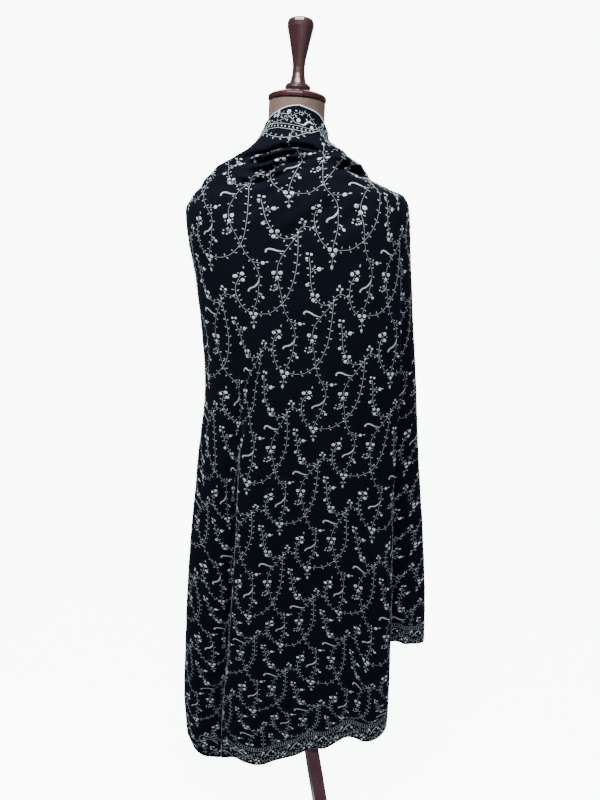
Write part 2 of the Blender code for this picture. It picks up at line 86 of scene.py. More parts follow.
# ---------------------------------------------------------------- form of the cloth
LEVEL_COLUMNS = ("share", "z", "left", "right", "back", "front", "square")
LEVELS = (
    (0.000, 1.423, 0.0650, 0.0560, 0.0580, 0.084, 2.0),
    (0.025, 1.390, 0.0850, 0.0630, 0.0610, 0.090, 2.0),
    (0.045, 1.364, 0.1140, 0.0980, 0.0720, 0.098, 2.0),
    (0.065, 1.345, 0.1370, 0.1120, 0.0880, 0.106, 2.1),
    (0.082, 1.326, 0.1570, 0.1220, 0.1010, 0.114, 2.2),
    (0.098, 1.307, 0.1730, 0.1290, 0.1120, 0.120, 2.3),
    (0.112, 1.290, 0.1840, 0.1580, 0.1200, 0.125, 2.4),
    (0.125, 1.275, 0.1970, 0.1900, 0.1250, 0.129, 2.5),
    (0.142, 1.252, 0.2090, 0.2000, 0.1300, 0.133, 2.6),
    (0.175, 1.210, 0.2070, 0.2030, 0.1360, 0.136, 2.7),
    (0.240, 1.130, 0.1950, 0.2090, 0.1410, 0.140, 2.7),
    (0.380, 0.950, 0.1850, 0.2240, 0.1430, 0.143, 2.6),
    (0.520, 0.770, 0.2070, 0.2380, 0.1430, 0.148, 2.6),
    (0.680, 0.560, 0.2320, 0.2540, 0.1400, 0.154, 2.7),
    (0.830, 0.370, 0.2470, 0.2640, 0.1350, 0.160, 2.8),
    (0.930, 0.240, 0.2550, 0.2700, 0.1310, 0.162, 2.9),
    (1.000, 0.150, 0.2530, 0.2720, 0.1300, 0.162, 2.9),
)

# The deep folds where the back panel laps the sides, as places across the back.
LAP_COLUMNS = ("z", "left_x", "left_depth", "right_x", "right_depth")
LAPS = (
    (1.370, -0.045, 0.000, 0.030, 0.000),
    (1.330, -0.070, 0.000, 0.046, 0.000),
    (1.270, -0.095, 0.000, 0.110, 0.000),
    (1.210, -0.102, 0.000, 0.178, 0.003),
    (1.060, -0.104, 0.000, 0.189, 0.012),
    (0.920, -0.106, 0.006, 0.195, 0.020),
    (0.800, -0.122, 0.018, 0.198, 0.028),
    (0.620, -0.137, 0.032, 0.200, 0.044),
    (0.410, -0.157, 0.040, 0.203, 0.054),
    (0.240, -0.175, 0.038, 0.203, 0.058),
    (0.150, -0.180, 0.034, 0.201, 0.056),
)

# Height of the hem against the place round the cloth: -1 and 1 are the middle of
# the front, 0 the middle of the back.
HEM_COLUMNS = ("place", "z")
HEM = (
    (-1.18, 0.170), (-0.80, 0.150), (-0.55, 0.137), (-0.42, 0.148), (-0.37, 0.144),
    (-0.344, 0.120), (-0.31, 0.098), (-0.272, 0.090), (-0.242, 0.128), (-0.206, 0.133),
    (-0.176, 0.124), (-0.147, 0.122), (-0.120, 0.122), (-0.088, 0.127), (-0.04, 0.143),
    (0.0, 0.152), (0.035, 0.161), (0.067, 0.164), (0.10, 0.178), (0.140, 0.188),
    (0.165, 0.184), (0.19, 0.177), (0.225, 0.178), (0.248, 0.186), (0.268, 0.206),
    (0.283, 0.270), (0.298, 0.348), (0.33, 0.371), (0.37, 0.361), (0.42, 0.354),
    (0.62, 0.310), (0.90, 0.235), (1.18, 0.215),
)

# How far the neck edge dips below its highest point, round the neck.
NECK_COLUMNS = ("place", "drop")
NECK_EDGE = (
    (-1.18, 0.078), (-0.80, 0.078), (-0.50, 0.040), (-0.345, 0.023), (-0.22, 0.010),
    (-0.085, 0.001), (-0.02, 0.000), (0.056, 0.004), (0.17, 0.013), (0.27, 0.032),
    (0.365, 0.050), (0.50, 0.059), (0.80, 0.078), (1.18, 0.078),
)
SIDE_DIP_ENDS = 0.11       # share of the way down at which the dip has faded out
FRONT_DIP_ENDS = 0.26      # the same at the front, where it is deepest

# Soft folds that fall down the sides and the front. "place" is as for the hem, and
# "swell" is how far a fold stands out, negative where it sinks in.
# Columns: place, top, swell, width.
FALLS = (
    (-0.90, 1.20, 0.012, 0.024),
    (-0.80, 1.22, -0.012, 0.024),
    (-0.70, 1.24, 0.010, 0.024),
    (-0.56, 1.10, -0.009, 0.022),
    (-0.36, 0.80, 0.008, 0.024),
    (0.36, 1.00, -0.034, 0.052),
    (0.44, 1.10, 0.008, 0.022),
    (0.55, 1.20, -0.010, 0.024),
    (0.66, 1.24, 0.012, 0.025),
    (0.77, 1.24, -0.013, 0.025),
    (0.88, 1.22, 0.012, 0.025),
    (1.00, 1.20, -0.010, 0.025),
)

FALL_GROWS = 0.45          # a fold reaches its full swell this far below its top
FRONT_DIP_STARTS = 0.5     # place round the cloth from which the front's dip begins to count
FRONT_DIP_LONG = 0.3       # and how far on it counts in full
HEM_STARTS = 0.45          # share of the way down from which the hem's slope shows
FRONT_STARTS = 0.62        # place round the cloth where the sides pass to the front
FRONT_ENDS = 1.14          # the two ends cross this far past the middle of the front
CROSS_STARTS = 0.76        # place at which the ends begin to part
CROSS_OFFSET = 0.0110      # one end lies this far outside the plain ring, one inside
CROSS_FULL = 0.20          # share of the way down where they are that far apart
NECK_CROSS = 0.4           # and the part of it that they are apart at the neck
RING_TURN = 225.0          # degrees that a ring runs to each side: its ends overlap in front
RING_POINTS = 1801


# ---------------------------------------------------------------- small helpers
def column(table, columns, name):
    """One named column of a table as an array."""
    place = columns.index(name)
    return np.array([row[place] for row in table], dtype=float)


def glide(xs, ys, x):
    """Smooth curve through (xs, ys) that never swings past its points."""
    xs = np.asarray(xs, dtype=float)
    ys = np.asarray(ys, dtype=float)
    if xs[0] > xs[-1]:
        xs = xs[::-1]
        ys = ys[::-1]
    steps = np.diff(xs)
    slopes = np.diff(ys) / steps
    bends = np.zeros(len(xs))
    bends[0] = slopes[0]
    bends[-1] = slopes[-1]
    same_way = slopes[:-1] * slopes[1:] > 0
    total = np.where(same_way, slopes[:-1] + slopes[1:], 1.0)
    bends[1:-1] = np.where(same_way, 2.0 * slopes[:-1] * slopes[1:] / total, 0.0)
    x = np.clip(x, xs[0], xs[-1])
    spot = np.clip(np.searchsorted(xs, x) - 1, 0, len(steps) - 1)
    step = steps[spot]
    t = (x - xs[spot]) / step
    start = ys[spot] * (1 + 2 * t) * (1 - t) ** 2 + bends[spot] * step * t * (1 - t) ** 2
    end = ys[spot + 1] * (3 - 2 * t) * t ** 2 - bends[spot + 1] * step * (1 - t) * t ** 2
    return start + end


def ease(t):
    """0 below 0, 1 above 1, and smooth between."""
    t = np.clip(t, 0.0, 1.0)
    return t * t * (3 - 2 * t)


def bell(t):
    """Soft hump of height 1 and half width 1."""
    return np.exp(-t * t)


# ---------------------------------------------------------------- rings of the cloth
def level(share):
    """Sizes of the cloth's ring at a share of the way down."""
    shares = column(LEVELS, LEVEL_COLUMNS, "share")
    names = LEVEL_COLUMNS[1:]
    return {name: glide(shares, column(LEVELS, LEVEL_COLUMNS, name), share) for name in names}


def outline(left, right, back, front, square):
    """Points round a ring, with the distance round it from the middle of the back."""
    angles = np.radians(np.linspace(-RING_TURN, RING_TURN, RING_POINTS))
    sine = np.sin(angles)
    cosine = np.cos(angles)
    power = 2.0 / square
    x = np.sign(sine) * np.abs(sine) ** power * np.where(sine < 0, left, right)
    y = -np.sign(cosine) * np.abs(cosine) ** power * np.where(cosine > 0, back, front)
    along = np.concatenate(([0.0], np.cumsum(np.hypot(np.diff(x), np.diff(y)))))
    along -= along[len(along) // 2]
    return x, y, along


def ring_steps(degrees):
    """Number of a ring's points in a turn of so many degrees."""
    return int(RING_POINTS * degrees / (2 * RING_TURN))


def ring_at(share):
    """Ring of the cloth with its outward directions, before any fold."""
    size = level(share)
    x, y, along = outline(size["left"], size["right"], size["back"], size["front"], size["square"])
    middle = len(along) // 2
    half_turn = ring_steps(180)
    half = {-1: -along[middle - half_turn], 1: along[middle + half_turn]}
    return {"x": x, "y": y, "along": along, "out_x": np.gradient(y, along),
            "out_y": -np.gradient(x, along), "half": half, "z": float(size["z"]), "middle": middle}


def distance_of(ring, x):
    """Distance round the ring to a place across its back."""
    quarter_turn = ring_steps(90)
    back = slice(ring["middle"] - quarter_turn, ring["middle"] + quarter_turn + 1)
    return float(np.interp(x, ring["x"][back], ring["along"][back]))


def place_of(ring, distance):
    """Distance round the ring as a place from -1 to 1."""
    return np.where(distance < 0, distance / ring["half"][-1], distance / ring["half"][1])


def lap(ring, side):
    """Distance round the ring and depth of the lap on one side of the back panel."""
    name = {-1: "left", 1: "right"}[side]
    heights = column(LAPS, LAP_COLUMNS, "z")
    x = glide(heights, column(LAPS, LAP_COLUMNS, name + "_x"), ring["z"])
    depth = glide(heights, column(LAPS, LAP_COLUMNS, name + "_depth"), ring["z"])
    return distance_of(ring, float(x)), float(depth)


def height_of(ring, share, places):
    """Height of the cloth round a ring, with the dip at the neck and the uneven hem."""
    drop = glide(column(NECK_EDGE, NECK_COLUMNS, "place"),
                 column(NECK_EDGE, NECK_COLUMNS, "drop"), places)
    hem = glide(column(HEM, HEM_COLUMNS, "place"), column(HEM, HEM_COLUMNS, "z"), places)
    front = ease((np.abs(places) - FRONT_DIP_STARTS) / FRONT_DIP_LONG)
    dip_ends = SIDE_DIP_ENDS + (FRONT_DIP_ENDS - SIDE_DIP_ENDS) * front
    dip = drop * (1 - ease(share / dip_ends))
    return ring["z"] - dip + (hem - LEVELS[-1][1]) * ease((share - HEM_STARTS) / (1 - HEM_STARTS))


def plain_row(ring, share, places):
    """Points round one ring of the cloth before any fold."""
    distances = np.where(places < 0, places * ring["half"][-1], places * ring["half"][1])
    x = np.interp(distances, ring["along"], ring["x"])
    y = np.interp(distances, ring["along"], ring["y"])
    return np.stack([x, y, height_of(ring, share, places)], axis=1)


# ---------------------------------------------------------------- sizes of the sheet
SHEET = 0.0013             # thickness of the cloth
CROWD_BOTH = 0.72          # how much the columns crowd at both ends of a stretch
CROWD_ONE = 0.80           # and at one end
# More rows and columns where the folds are finer: share of the way down, steps to it.
# Columns: share, steps.
ROWS = ((0.045, 18), (0.125, 64), (0.150, 10), (0.300, 24), (0.860, 60), (0.985, 28), (1.000, 6))
# Columns of each stretch, and whether they crowd at its start and end.
STRETCHES = (
    ("front_left", 22, False, False),
    ("left_side", 42, False, True),
    ("back", 78, True, True),
    ("right_side", 38, True, False),
    ("front_right", 22, False, False),
)
GUIDE_TOP = 1.21           # above this height the columns keep their place round the ring
LAP_BACK_WIDTH = 0.008     # half width of a lap on the back panel's side, which is steep
LAP_SIDE_WIDTH = 0.030     # and on the side under it, which is soft
# The hem is drawn up a little where it comes out from the left lap.
CORNER_LIFT = 0.0070
CORNER_STARTS = 0.950
CORNER_INSIDE = 0.0060
CORNER_WIDTH = 0.0120

# Finer folds on the back, as strokes across it: how far each stands out, its half widths on
# the upper and lower side, and places (x, z) that it runs through from left to right.
# Columns: swell, over, under, reach, line.
NEAR = 0.010               # the reach of a stroke: how far towards the front it runs
FAR = 0.100
STROKES = (
    (0.0040, 0.0130, 0.0055, NEAR, ((-0.120, 1.3450), (-0.075, 1.3550), (-0.015, 1.3640),
                                    (0.020, 1.3615), (0.045, 1.3530))),
    (-0.0130, 0.0036, 0.0044, NEAR, ((-0.112, 1.3380), (-0.085, 1.3430), (-0.058, 1.3465),
                                     (-0.038, 1.3530), (-0.015, 1.3565), (0.012, 1.3540),
                                     (0.034, 1.3470), (0.052, 1.3440))),
    (0.0085, 0.0040, 0.0046, NEAR, ((-0.095, 1.3345), (-0.053, 1.3398), (-0.015, 1.3480),
                                    (0.005, 1.3480), (0.040, 1.3400))),
    (-0.0105, 0.0034, 0.0040, NEAR, ((-0.092, 1.3275), (-0.062, 1.3310), (-0.034, 1.3400),
                                     (-0.010, 1.3440), (0.012, 1.3430))),
    (0.0070, 0.0040, 0.0044, NEAR, ((-0.098, 1.3190), (-0.060, 1.3225), (-0.028, 1.3350),
                                    (0.000, 1.3385), (0.030, 1.3370))),
    (-0.0110, 0.0036, 0.0060, NEAR, ((-0.085, 1.3110), (-0.055, 1.3150), (-0.034, 1.3245),
                                     (-0.014, 1.3300), (0.008, 1.3310))),
    (0.0060, 0.0055, 0.0060, NEAR, ((-0.115, 1.3080), (-0.085, 1.3050), (-0.050, 1.3085),
                                    (-0.015, 1.3215), (0.022, 1.3260))),
    (-0.0075, 0.0045, 0.0070, NEAR, ((-0.105, 1.2930), (-0.070, 1.2950), (-0.048, 1.3020),
                                     (-0.020, 1.3120))),
    (0.0050, 0.0075, 0.0110, NEAR, ((-0.135, 1.2800), (-0.090, 1.2820), (-0.040, 1.2940),
                                    (0.020, 1.3100), (0.050, 1.3200))),
    (-0.0150, 0.0060, 0.0045, NEAR, ((-0.178, 1.2890), (-0.150, 1.3105), (-0.128, 1.3250),
                                     (-0.105, 1.3330), (-0.085, 1.3365))),
    (0.0065, 0.0035, 0.0070, NEAR, ((-0.178, 1.2780), (-0.150, 1.2985), (-0.124, 1.3150),
                                    (-0.100, 1.3235))),
    (0.0040, 0.0090, 0.0110, NEAR, ((-0.040, 1.2200), (-0.013, 1.2342), (0.026, 1.2670),
                                    (0.056, 1.2880))),
    (-0.0040, 0.0080, 0.0110, NEAR, ((-0.050, 1.2020), (0.000, 1.2240), (0.040, 1.2480),
                                     (0.080, 1.2760))),
    (0.0030, 0.0110, 0.0160, NEAR, ((-0.130, 1.2200), (-0.080, 1.2350), (-0.030, 1.2700),
                                    (0.010, 1.2850))),
    (-0.0150, 0.0070, 0.0050, NEAR, ((0.062, 1.3215), (0.082, 1.3190), (0.100, 1.3140),
                                     (0.122, 1.3080))),
    (0.0060, 0.0035, 0.0090, NEAR, ((0.052, 1.3120), (0.065, 1.3071), (0.083, 1.3040),
                                    (0.122, 1.3000))),
    (0.0225, 0.0085, 0.0155, FAR, ((0.053, 1.3597), (0.083, 1.3550), (0.113, 1.3422))),
    (0.0060, 0.0130, 0.0150, FAR, ((-0.155, 1.3240), (-0.125, 1.3440), (-0.095, 1.3580))),
    (-0.0030, 0.0050, 0.0045, FAR, ((0.045, 1.3760), (0.062, 1.3710), (0.080, 1.3690))),
    (0.0060, 0.0050, 0.0060, NEAR, ((0.036, 1.3300), (0.060, 1.3380), (0.085, 1.3340),
                                    (0.112, 1.3220))),
    (-0.0050, 0.0060, 0.0070, NEAR, ((0.012, 1.3080), (0.036, 1.3220), (0.056, 1.3330))),
    (-0.0030, 0.0090, 0.0140, NEAR, ((0.030, 1.2100), (0.080, 1.2350), (0.120, 1.2720))),
    (0.0030, 0.0110, 0.0160, NEAR, ((0.040, 1.1850), (0.095, 1.2180), (0.140, 1.2600))),
    (0.0060, 0.0060, 0.0060, NEAR, ((-0.182, 0.3280), (-0.160, 0.3330), (-0.132, 0.3220))),
    (-0.0070, 0.0050, 0.0060, NEAR, ((-0.205, 0.3080), (-0.180, 0.3170), (-0.150, 0.3100))),
    (0.0060, 0.0050, 0.0070, NEAR, ((-0.215, 0.2880), (-0.190, 0.2990), (-0.160, 0.2940))),
    (-0.0060, 0.0050, 0.0070, NEAR, ((-0.220, 0.2700), (-0.195, 0.2790), (-0.170, 0.2760))),
)
STROKES_FADE = 0.060       # a stroke fades out over this distance before its reach
STROKE_PAST = 0.10         # it runs past its ends by this share of its length
STROKE_EASE = 0.35         # and rises over this share of it
SLOPE_STEP = 0.001
PATTERN_STROKES = 0.30     # the part of a stroke's extra length that the pattern feels

# Long soft folds that hang in the lower cloth: place round the cloth, the height at
# which a fold begins, its lean, swell and half width.
# Columns: place, top, lean, swell, width.
HANGS = (
    (-0.150, 0.80, 0.020, 0.0030, 0.018),
    (-0.090, 0.62, 0.015, -0.0035, 0.016),
    (-0.030, 0.70, 0.010, 0.0030, 0.020),
    (0.035, 0.90, -0.010, -0.0030, 0.020),
    (0.095, 0.66, -0.015, 0.0035, 0.018),
    (0.150, 0.75, -0.010, -0.0035, 0.018),
    (0.205, 0.58, 0.000, 0.0035, 0.014),
    (-0.255, 1.00, 0.010, 0.0040, 0.012),
    (-0.310, 0.85, 0.000, -0.0045, 0.013),
    (-0.390, 1.05, 0.000, 0.0035, 0.014),
    (-0.470, 0.95, 0.010, -0.0050, 0.016),
    (-0.640, 1.15, 0.010, 0.0050, 0.018),
    (-0.750, 1.10, 0.000, -0.0040, 0.016),
    (-0.860, 1.05, 0.010, 0.0040, 0.016),
    (0.330, 0.90, 0.000, 0.0035, 0.012),
    (0.400, 1.00, 0.000, -0.0040, 0.014),
    (0.500, 1.05, -0.010, 0.0045, 0.018),
    (0.610, 1.12, 0.000, -0.0045, 0.017),
    (0.720, 1.15, -0.010, 0.0045, 0.018),
    (0.830, 1.10, 0.000, -0.0040, 0.016),
    (0.940, 1.05, 0.000, 0.0040, 0.018),
)
HANG_GROWS = 0.30


# ---------------------------------------------------------------- finer form of the sheet
def stroke_swell(x, z, y):
    """How far the strokes across the back move the cloth out or in."""
    swell = np.zeros_like(x)
    for height, over, under, reach, line in STROKES:
        xs, zs = np.array(line).T
        middle = glide(xs, zs, x)
        slope = (glide(xs, zs, x + SLOPE_STEP) - middle) / SLOPE_STEP
        across = (z - middle) / np.hypot(1.0, slope)
        t = (x - xs[0]) / (xs[-1] - xs[0])
        ends = ease((t + STROKE_PAST) / STROKE_EASE) * ease((1 + STROKE_PAST - t) / STROKE_EASE)
        fade = ease((reach - y) / STROKES_FADE)
        swell += height * bell(across / np.where(across > 0, over, under)) * ends * fade
    return swell


def hang_swell(places, z, half):
    """How far the long hanging folds move the cloth out or in."""
    swell = np.zeros_like(places)
    for place, top, lean, height, width in HANGS:
        grown = ease((top - z) / HANG_GROWS)
        middle = place + lean * (top - z)
        swell += height * grown * bell((places - middle) * half / width)
    return swell


def sheet_row(share, distances, strokes):
    """Outer points of the sheet at one share of the way down, with part of its strokes."""
    ring = ring_at(share)
    places = place_of(ring, distances)
    x, y, z = plain_row(ring, share, places).T
    out_x = np.interp(distances, ring["along"], ring["out_x"])
    out_y = np.interp(distances, ring["along"], ring["out_y"])
    size = np.hypot(out_x, out_y)
    out = strokes * stroke_swell(x, z, y) + hang_swell(places, z, ring["half"][1])
    for side in (-1, 1):
        middle, depth = lap(ring, side)
        inward = (distances - middle) * -side
        width = np.where(inward > 0, LAP_BACK_WIDTH, LAP_SIDE_WIDTH)
        out = out - depth * bell((distances - middle) / width)
        if side < 0:
            drawn = CORNER_LIFT * ease((share - CORNER_STARTS) / (1 - CORNER_STARTS))
            z = z + drawn * bell((inward - CORNER_INSIDE) / CORNER_WIDTH)
    for place, top, swell, width in FALLS:
        grown = ease((top - z) / FALL_GROWS)
        out = out + swell * grown * bell((places - place) * ring["half"][1] / width)
    crossed = ease((np.abs(places) - CROSS_STARTS) / (1.0 - CROSS_STARTS))
    apart = CROSS_OFFSET * (NECK_CROSS + (1 - NECK_CROSS) * float(ease(share / CROSS_FULL)))
    out = out + np.sign(places) * apart * crossed
    return np.stack([x + out * out_x / size, y + out * out_y / size, z], axis=1)


def guide(ring, side):
    """Distance round a ring of the column that follows the lap on one side."""
    if ring["z"] <= GUIDE_TOP:
        return lap(ring, side)[0]
    shares = column(LEVELS, LEVEL_COLUMNS, "share")
    top = ring_at(float(np.interp(-GUIDE_TOP, -column(LEVELS, LEVEL_COLUMNS, "z"), shares)))
    return lap(top, side)[0] / top["half"][side] * ring["half"][side]


def crowded(start, end, count, at_start, at_end):
    """Numbers from start to end, closer together at the ends that hold a deep fold."""
    t = np.linspace(0.0, 1.0, count + 1)
    if at_start and at_end:
        t = CROWD_BOTH * (1 - np.cos(math.pi * t)) / 2 + (1 - CROWD_BOTH) * t
    elif at_start:
        t = CROWD_ONE * (1 - np.cos(math.pi * t / 2)) + (1 - CROWD_ONE) * t
    elif at_end:
        t = CROWD_ONE * np.sin(math.pi * t / 2) + (1 - CROWD_ONE) * t
    return start + (end - start) * t


def sheet_shares():
    """Shares of the way down of all the rows."""
    shares = [0.0]
    for end, steps in ROWS:
        shares += list(np.linspace(shares[-1], end, steps + 1)[1:])
    return np.array(shares)


def sheet_distances(share):
    """Distances round the ring of all the columns of one row."""
    ring = ring_at(share)
    left = ring["half"][-1]
    right = ring["half"][1]
    marks = (-FRONT_ENDS * left, -FRONT_STARTS * left, guide(ring, -1), guide(ring, 1),
             FRONT_STARTS * right, FRONT_ENDS * right)
    parts = []
    for (_, count, at_start, at_end), start, end in zip(STRETCHES, marks, marks[1:]):
        parts.append(crowded(start, end, count, at_start, at_end)[:-1])
    return np.concatenate(parts + [[marks[-1]]])


def sheet_grid(strokes=1.0):
    """All points of the sheet's outer face, in world axes, row by row from the neck."""
    rows = [sheet_row(share, sheet_distances(share), strokes) for share in sheet_shares()]
    grid = np.array(rows)
    grid[..., 0] += CENTRE_X
    grid[..., 1] += CENTRE_Y
    return grid


def lengths_along(grid, axis=0):
    """Distance along a path, or along a grid's rows or columns, from its first point."""
    steps = np.linalg.norm(np.diff(grid, axis=axis), axis=-1)
    total = np.cumsum(steps, axis=axis)
    return np.concatenate([np.zeros_like(np.take(total, [0], axis=axis)), total], axis=axis)


def outward_of(grid):
    """Outward direction at every point of a grid."""
    out = np.cross(np.gradient(grid, axis=0), np.gradient(grid, axis=1))
    return out / np.linalg.norm(out, axis=2)[..., None]


# ---------------------------------------------------------------- meshes from arrays
def mesh_from(name, points, faces):
    """A mesh from arrays of points and of faces that all have as many corners."""
    mesh = bpy.data.meshes.new(name)
    mesh.vertices.add(len(points))
    mesh.vertices.foreach_set("co", np.asarray(points, dtype=np.float32).ravel())
    mesh.loops.add(faces.size)
    mesh.loops.foreach_set("vertex_index", faces.astype(np.int32).ravel())
    mesh.polygons.add(len(faces))
    starts = np.arange(len(faces), dtype=np.int32) * np.int32(faces.shape[1])
    mesh.polygons.foreach_set("loop_start", starts)
    mesh.update(calc_edges=True)
    mesh.validate()
    mesh.shade_smooth()
    return mesh


def add_piece(name, mesh, material):
    """An object of the part, fixed to its one body."""
    piece = bpy.data.objects.new(name, mesh)
    bpy.context.scene.collection.objects.link(piece)
    mesh.materials.append(material)
    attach(piece, "root")
    return piece


def set_attribute(mesh, name, values):
    """A vector for each point of a mesh, for its material to read."""
    layer = mesh.attributes.new(name, "FLOAT_VECTOR", "POINT")
    layer.data.foreach_set("vector", np.asarray(values, dtype=np.float32).ravel())


def grid_faces(rows, columns):
    """Faces of a grid of points, facing outward."""
    a = (np.arange(rows - 1)[:, None] * columns + np.arange(columns - 1)[None, :]).ravel()
    return np.stack([a, a + columns, a + columns + 1, a + 1], axis=1)


# ---------------------------------------------------------------- materials
class Nodes:
    """Short names for building a material's nodes."""

    def __init__(self, name):
        self.material = bpy.data.materials.new(name)
        self.material.use_nodes = True
        self.tree = self.material.node_tree
        self.shader = self.tree.nodes["Principled BSDF"]

    def add(self, kind, values=(), **settings):
        node = self.tree.nodes.new("ShaderNode" + kind)
        for key, value in settings.items():
            setattr(node, key, value)
        for key, value in dict(values).items():
            node.inputs[key].default_value = value
        return node

    def link(self, output, target):
        self.tree.links.new(output, target)

    def attribute(self, name):
        return self.add("Attribute", attribute_name=name).outputs["Vector"]

    def place(self):
        return self.add("TexCoord").outputs["Object"]

    def scaled(self, vector, scale, turn=(0.0, 0.0, 0.0)):
        node = self.add("Mapping", {"Scale": scale, "Rotation": turn})
        self.link(vector, node.inputs["Vector"])
        return node.outputs["Vector"]

    def noise(self, vector, scale, detail=2.0, rough=0.5):
        node = self.add("TexNoise", {"Scale": scale, "Detail": detail, "Roughness": rough})
        self.link(vector, node.inputs["Vector"])
        return node.outputs["Fac"]

    def wave(self, vector, scale, distortion=0.0, direction="X"):
        node = self.add("TexWave", {"Scale": scale, "Distortion": distortion, "Detail": 1.0},
                        bands_direction=direction)
        self.link(vector, node.inputs["Vector"])
        return node.outputs["Fac"]

    def span(self, value, low, high):
        """The value, moved from 0..1 to low..high."""
        node = self.add("MapRange", {"To Min": low, "To Max": high})
        self.link(value, node.inputs["Value"])
        return node.outputs["Result"]

    def math(self, kind, a, b):
        node = self.add("Math", operation=kind)
        for spot, value in zip(node.inputs, (a, b)):
            if isinstance(value, (int, float)):
                spot.default_value = value
            else:
                self.link(value, spot)
        return node.outputs["Value"]

    def colours(self, value, *stops):
        """A colour ramp: pairs of place and colour."""
        node = self.add("ValToRGB")
        ramp = node.color_ramp
        while len(ramp.elements) < len(stops):
            ramp.elements.new(0.5)
        for element, (spot, colour) in zip(ramp.elements, stops):
            element.position = spot
            element.color = (*colour, 1.0)
        self.link(value, node.inputs["Fac"])
        return node.outputs["Color"]

    def bump(self, height, distance, strength=1.0, before=None):
        node = self.add("Bump", {"Distance": distance, "Strength": strength})
        self.link(height, node.inputs["Height"])
        if before is not None:
            self.link(before, node.inputs["Normal"])
        return node.outputs["Normal"]

    def set(self, **values):
        for key, value in values.items():
            socket = self.shader.inputs[key.replace("_", " ")]
            if isinstance(value, bpy.types.NodeSocket):
                self.link(value, socket)
            else:
                socket.default_value = value
        return self.material


def wool_material():
    """Fine dark twill wool with a faint nap."""
    m = Nodes("pashmina_wool")
    place = m.attribute("cloth_place")
    twill = m.wave(m.scaled(place, (1.0, 1.0, 1.0), (0.0, 0.0, math.radians(45.0))), 260.0, 0.6)
    nap = m.noise(place, 900.0, 3.0, 0.7)
    slub = m.noise(m.scaled(place, (40.0, 6.0, 1.0)), 5.0, 3.0)
    cloudy = m.noise(place, 14.0, 3.0)
    weave = m.math("ADD", m.math("MULTIPLY", twill, 0.45), m.math("MULTIPLY", nap, 0.55))
    tone = m.math("ADD", m.math("MULTIPLY", cloudy, 0.5),
                  m.math("ADD", m.math("MULTIPLY", slub, 0.25), m.math("MULTIPLY", weave, 0.25)))
    colour = m.colours(tone, (0.25, WOOL_DARK), (0.75, WOOL_LIGHT))
    soft = m.bump(slub, 0.0004, 0.4)
    normal = m.bump(weave, 0.00025, 0.5, soft)
    return m.set(Base_Color=colour, Roughness=m.span(nap, 0.80, 0.95), Normal=normal,
                 Sheen_Weight=WOOL_SHEEN, Sheen_Roughness=0.45, Sheen_Tint=(0.55, 0.70, 1.0, 1.0),
                 Specular_IOR_Level=0.04, IOR=1.3)


def thread_material():
    """Pale silk thread in close satin stitches, a little uneven in tone."""
    m = Nodes("silk_thread")
    place = m.attribute("thread")
    parts = m.add("SeparateXYZ")
    m.link(place, parts.inputs["Vector"])
    stitches = m.wave(place, 480.0, 1.5)
    fuzz = m.noise(place, 1600.0, 2.0, 0.6)
    tone = m.math("ADD", m.math("MULTIPLY", parts.outputs["Z"], 0.7),
                  m.math("ADD", m.math("MULTIPLY", stitches, 0.17), m.math("MULTIPLY", fuzz, 0.13)))
    colour = m.colours(tone, (0.15, THREAD_DARK), (0.55, THREAD_MIDDLE), (0.9, THREAD_LIGHT))
    normal = m.bump(m.math("ADD", stitches, m.math("MULTIPLY", fuzz, 0.4)), 0.00022, 0.6)
    return m.set(Base_Color=colour, Roughness=m.span(stitches, 0.42, 0.62), Normal=normal,
                 Sheen_Weight=0.15, Sheen_Roughness=0.3, Specular_IOR_Level=0.45)


def linen_material():
    """Plain brown linen stretched over the form, with a crossed weave."""
    m = Nodes("form_linen_weave")
    place = m.place()
    across = m.wave(place, 300.0, 2.0, "Z")
    along = m.wave(m.scaled(place, (1.0, 1.0, 0.2)), 260.0, 3.0, "DIAGONAL")
    weave = m.math("MULTIPLY", across, along)
    cloudy = m.noise(place, 30.0, 4.0, 0.6)
    tone = m.math("ADD", m.math("MULTIPLY", cloudy, 0.7), m.math("MULTIPLY", weave, 0.3))
    colour = m.colours(tone, (0.25, (0.115, 0.074, 0.058)), (0.75, (0.205, 0.142, 0.112)))
    normal = m.bump(weave, 0.0004, 0.5)
    return m.set(Base_Color=colour, Roughness=m.span(weave, 0.95, 0.75), Normal=normal,
                 Sheen_Weight=0.08, Specular_IOR_Level=0.25)


def mahogany_material(name, coat, shine, dark, light):
    """Dark mahogany with grain along each piece's height, under more or less polish."""
    m = Nodes(name)
    place = m.place()
    grain = m.noise(m.scaled(place, (1.0, 1.0, 0.06)), 240.0, 4.0, 0.6)
    figure = m.noise(m.scaled(place, (1.0, 1.0, 0.20)), 40.0, 3.0, 0.5)
    pores = m.noise(m.scaled(place, (1.0, 1.0, 0.04)), 900.0, 2.0, 0.5)
    tone = m.math("ADD", m.math("MULTIPLY", grain, 0.45), m.math("MULTIPLY", figure, 0.55))
    colour = m.colours(tone, (0.25, dark), (0.75, light))
    normal = m.bump(m.math("ADD", grain, pores), 0.00010, 0.25)
    return m.set(Base_Color=colour, Roughness=m.span(pores, 0.20, 0.32), Normal=normal,
                 Coat_Weight=coat, Coat_Roughness=0.08, Specular_IOR_Level=shine)


def floor_material():
    """White studio floor, lit up as a light table is."""
    m = Nodes("studio_white")
    grain = m.noise(m.place(), 3.0, 2.0)
    seen = m.add("LightPath").outputs["Is Camera Ray"]
    return m.set(Base_Color=m.colours(grain, (0.3, (0.90, 0.92, 0.92)), (0.7, (0.93, 0.95, 0.95))),
                 Roughness=0.9, Specular_IOR_Level=0.1, Emission_Color=(0.95, 1.0, 1.0, 1.0),
                 Emission_Strength=m.math("MULTIPLY", seen, FLOOR_GLOW))


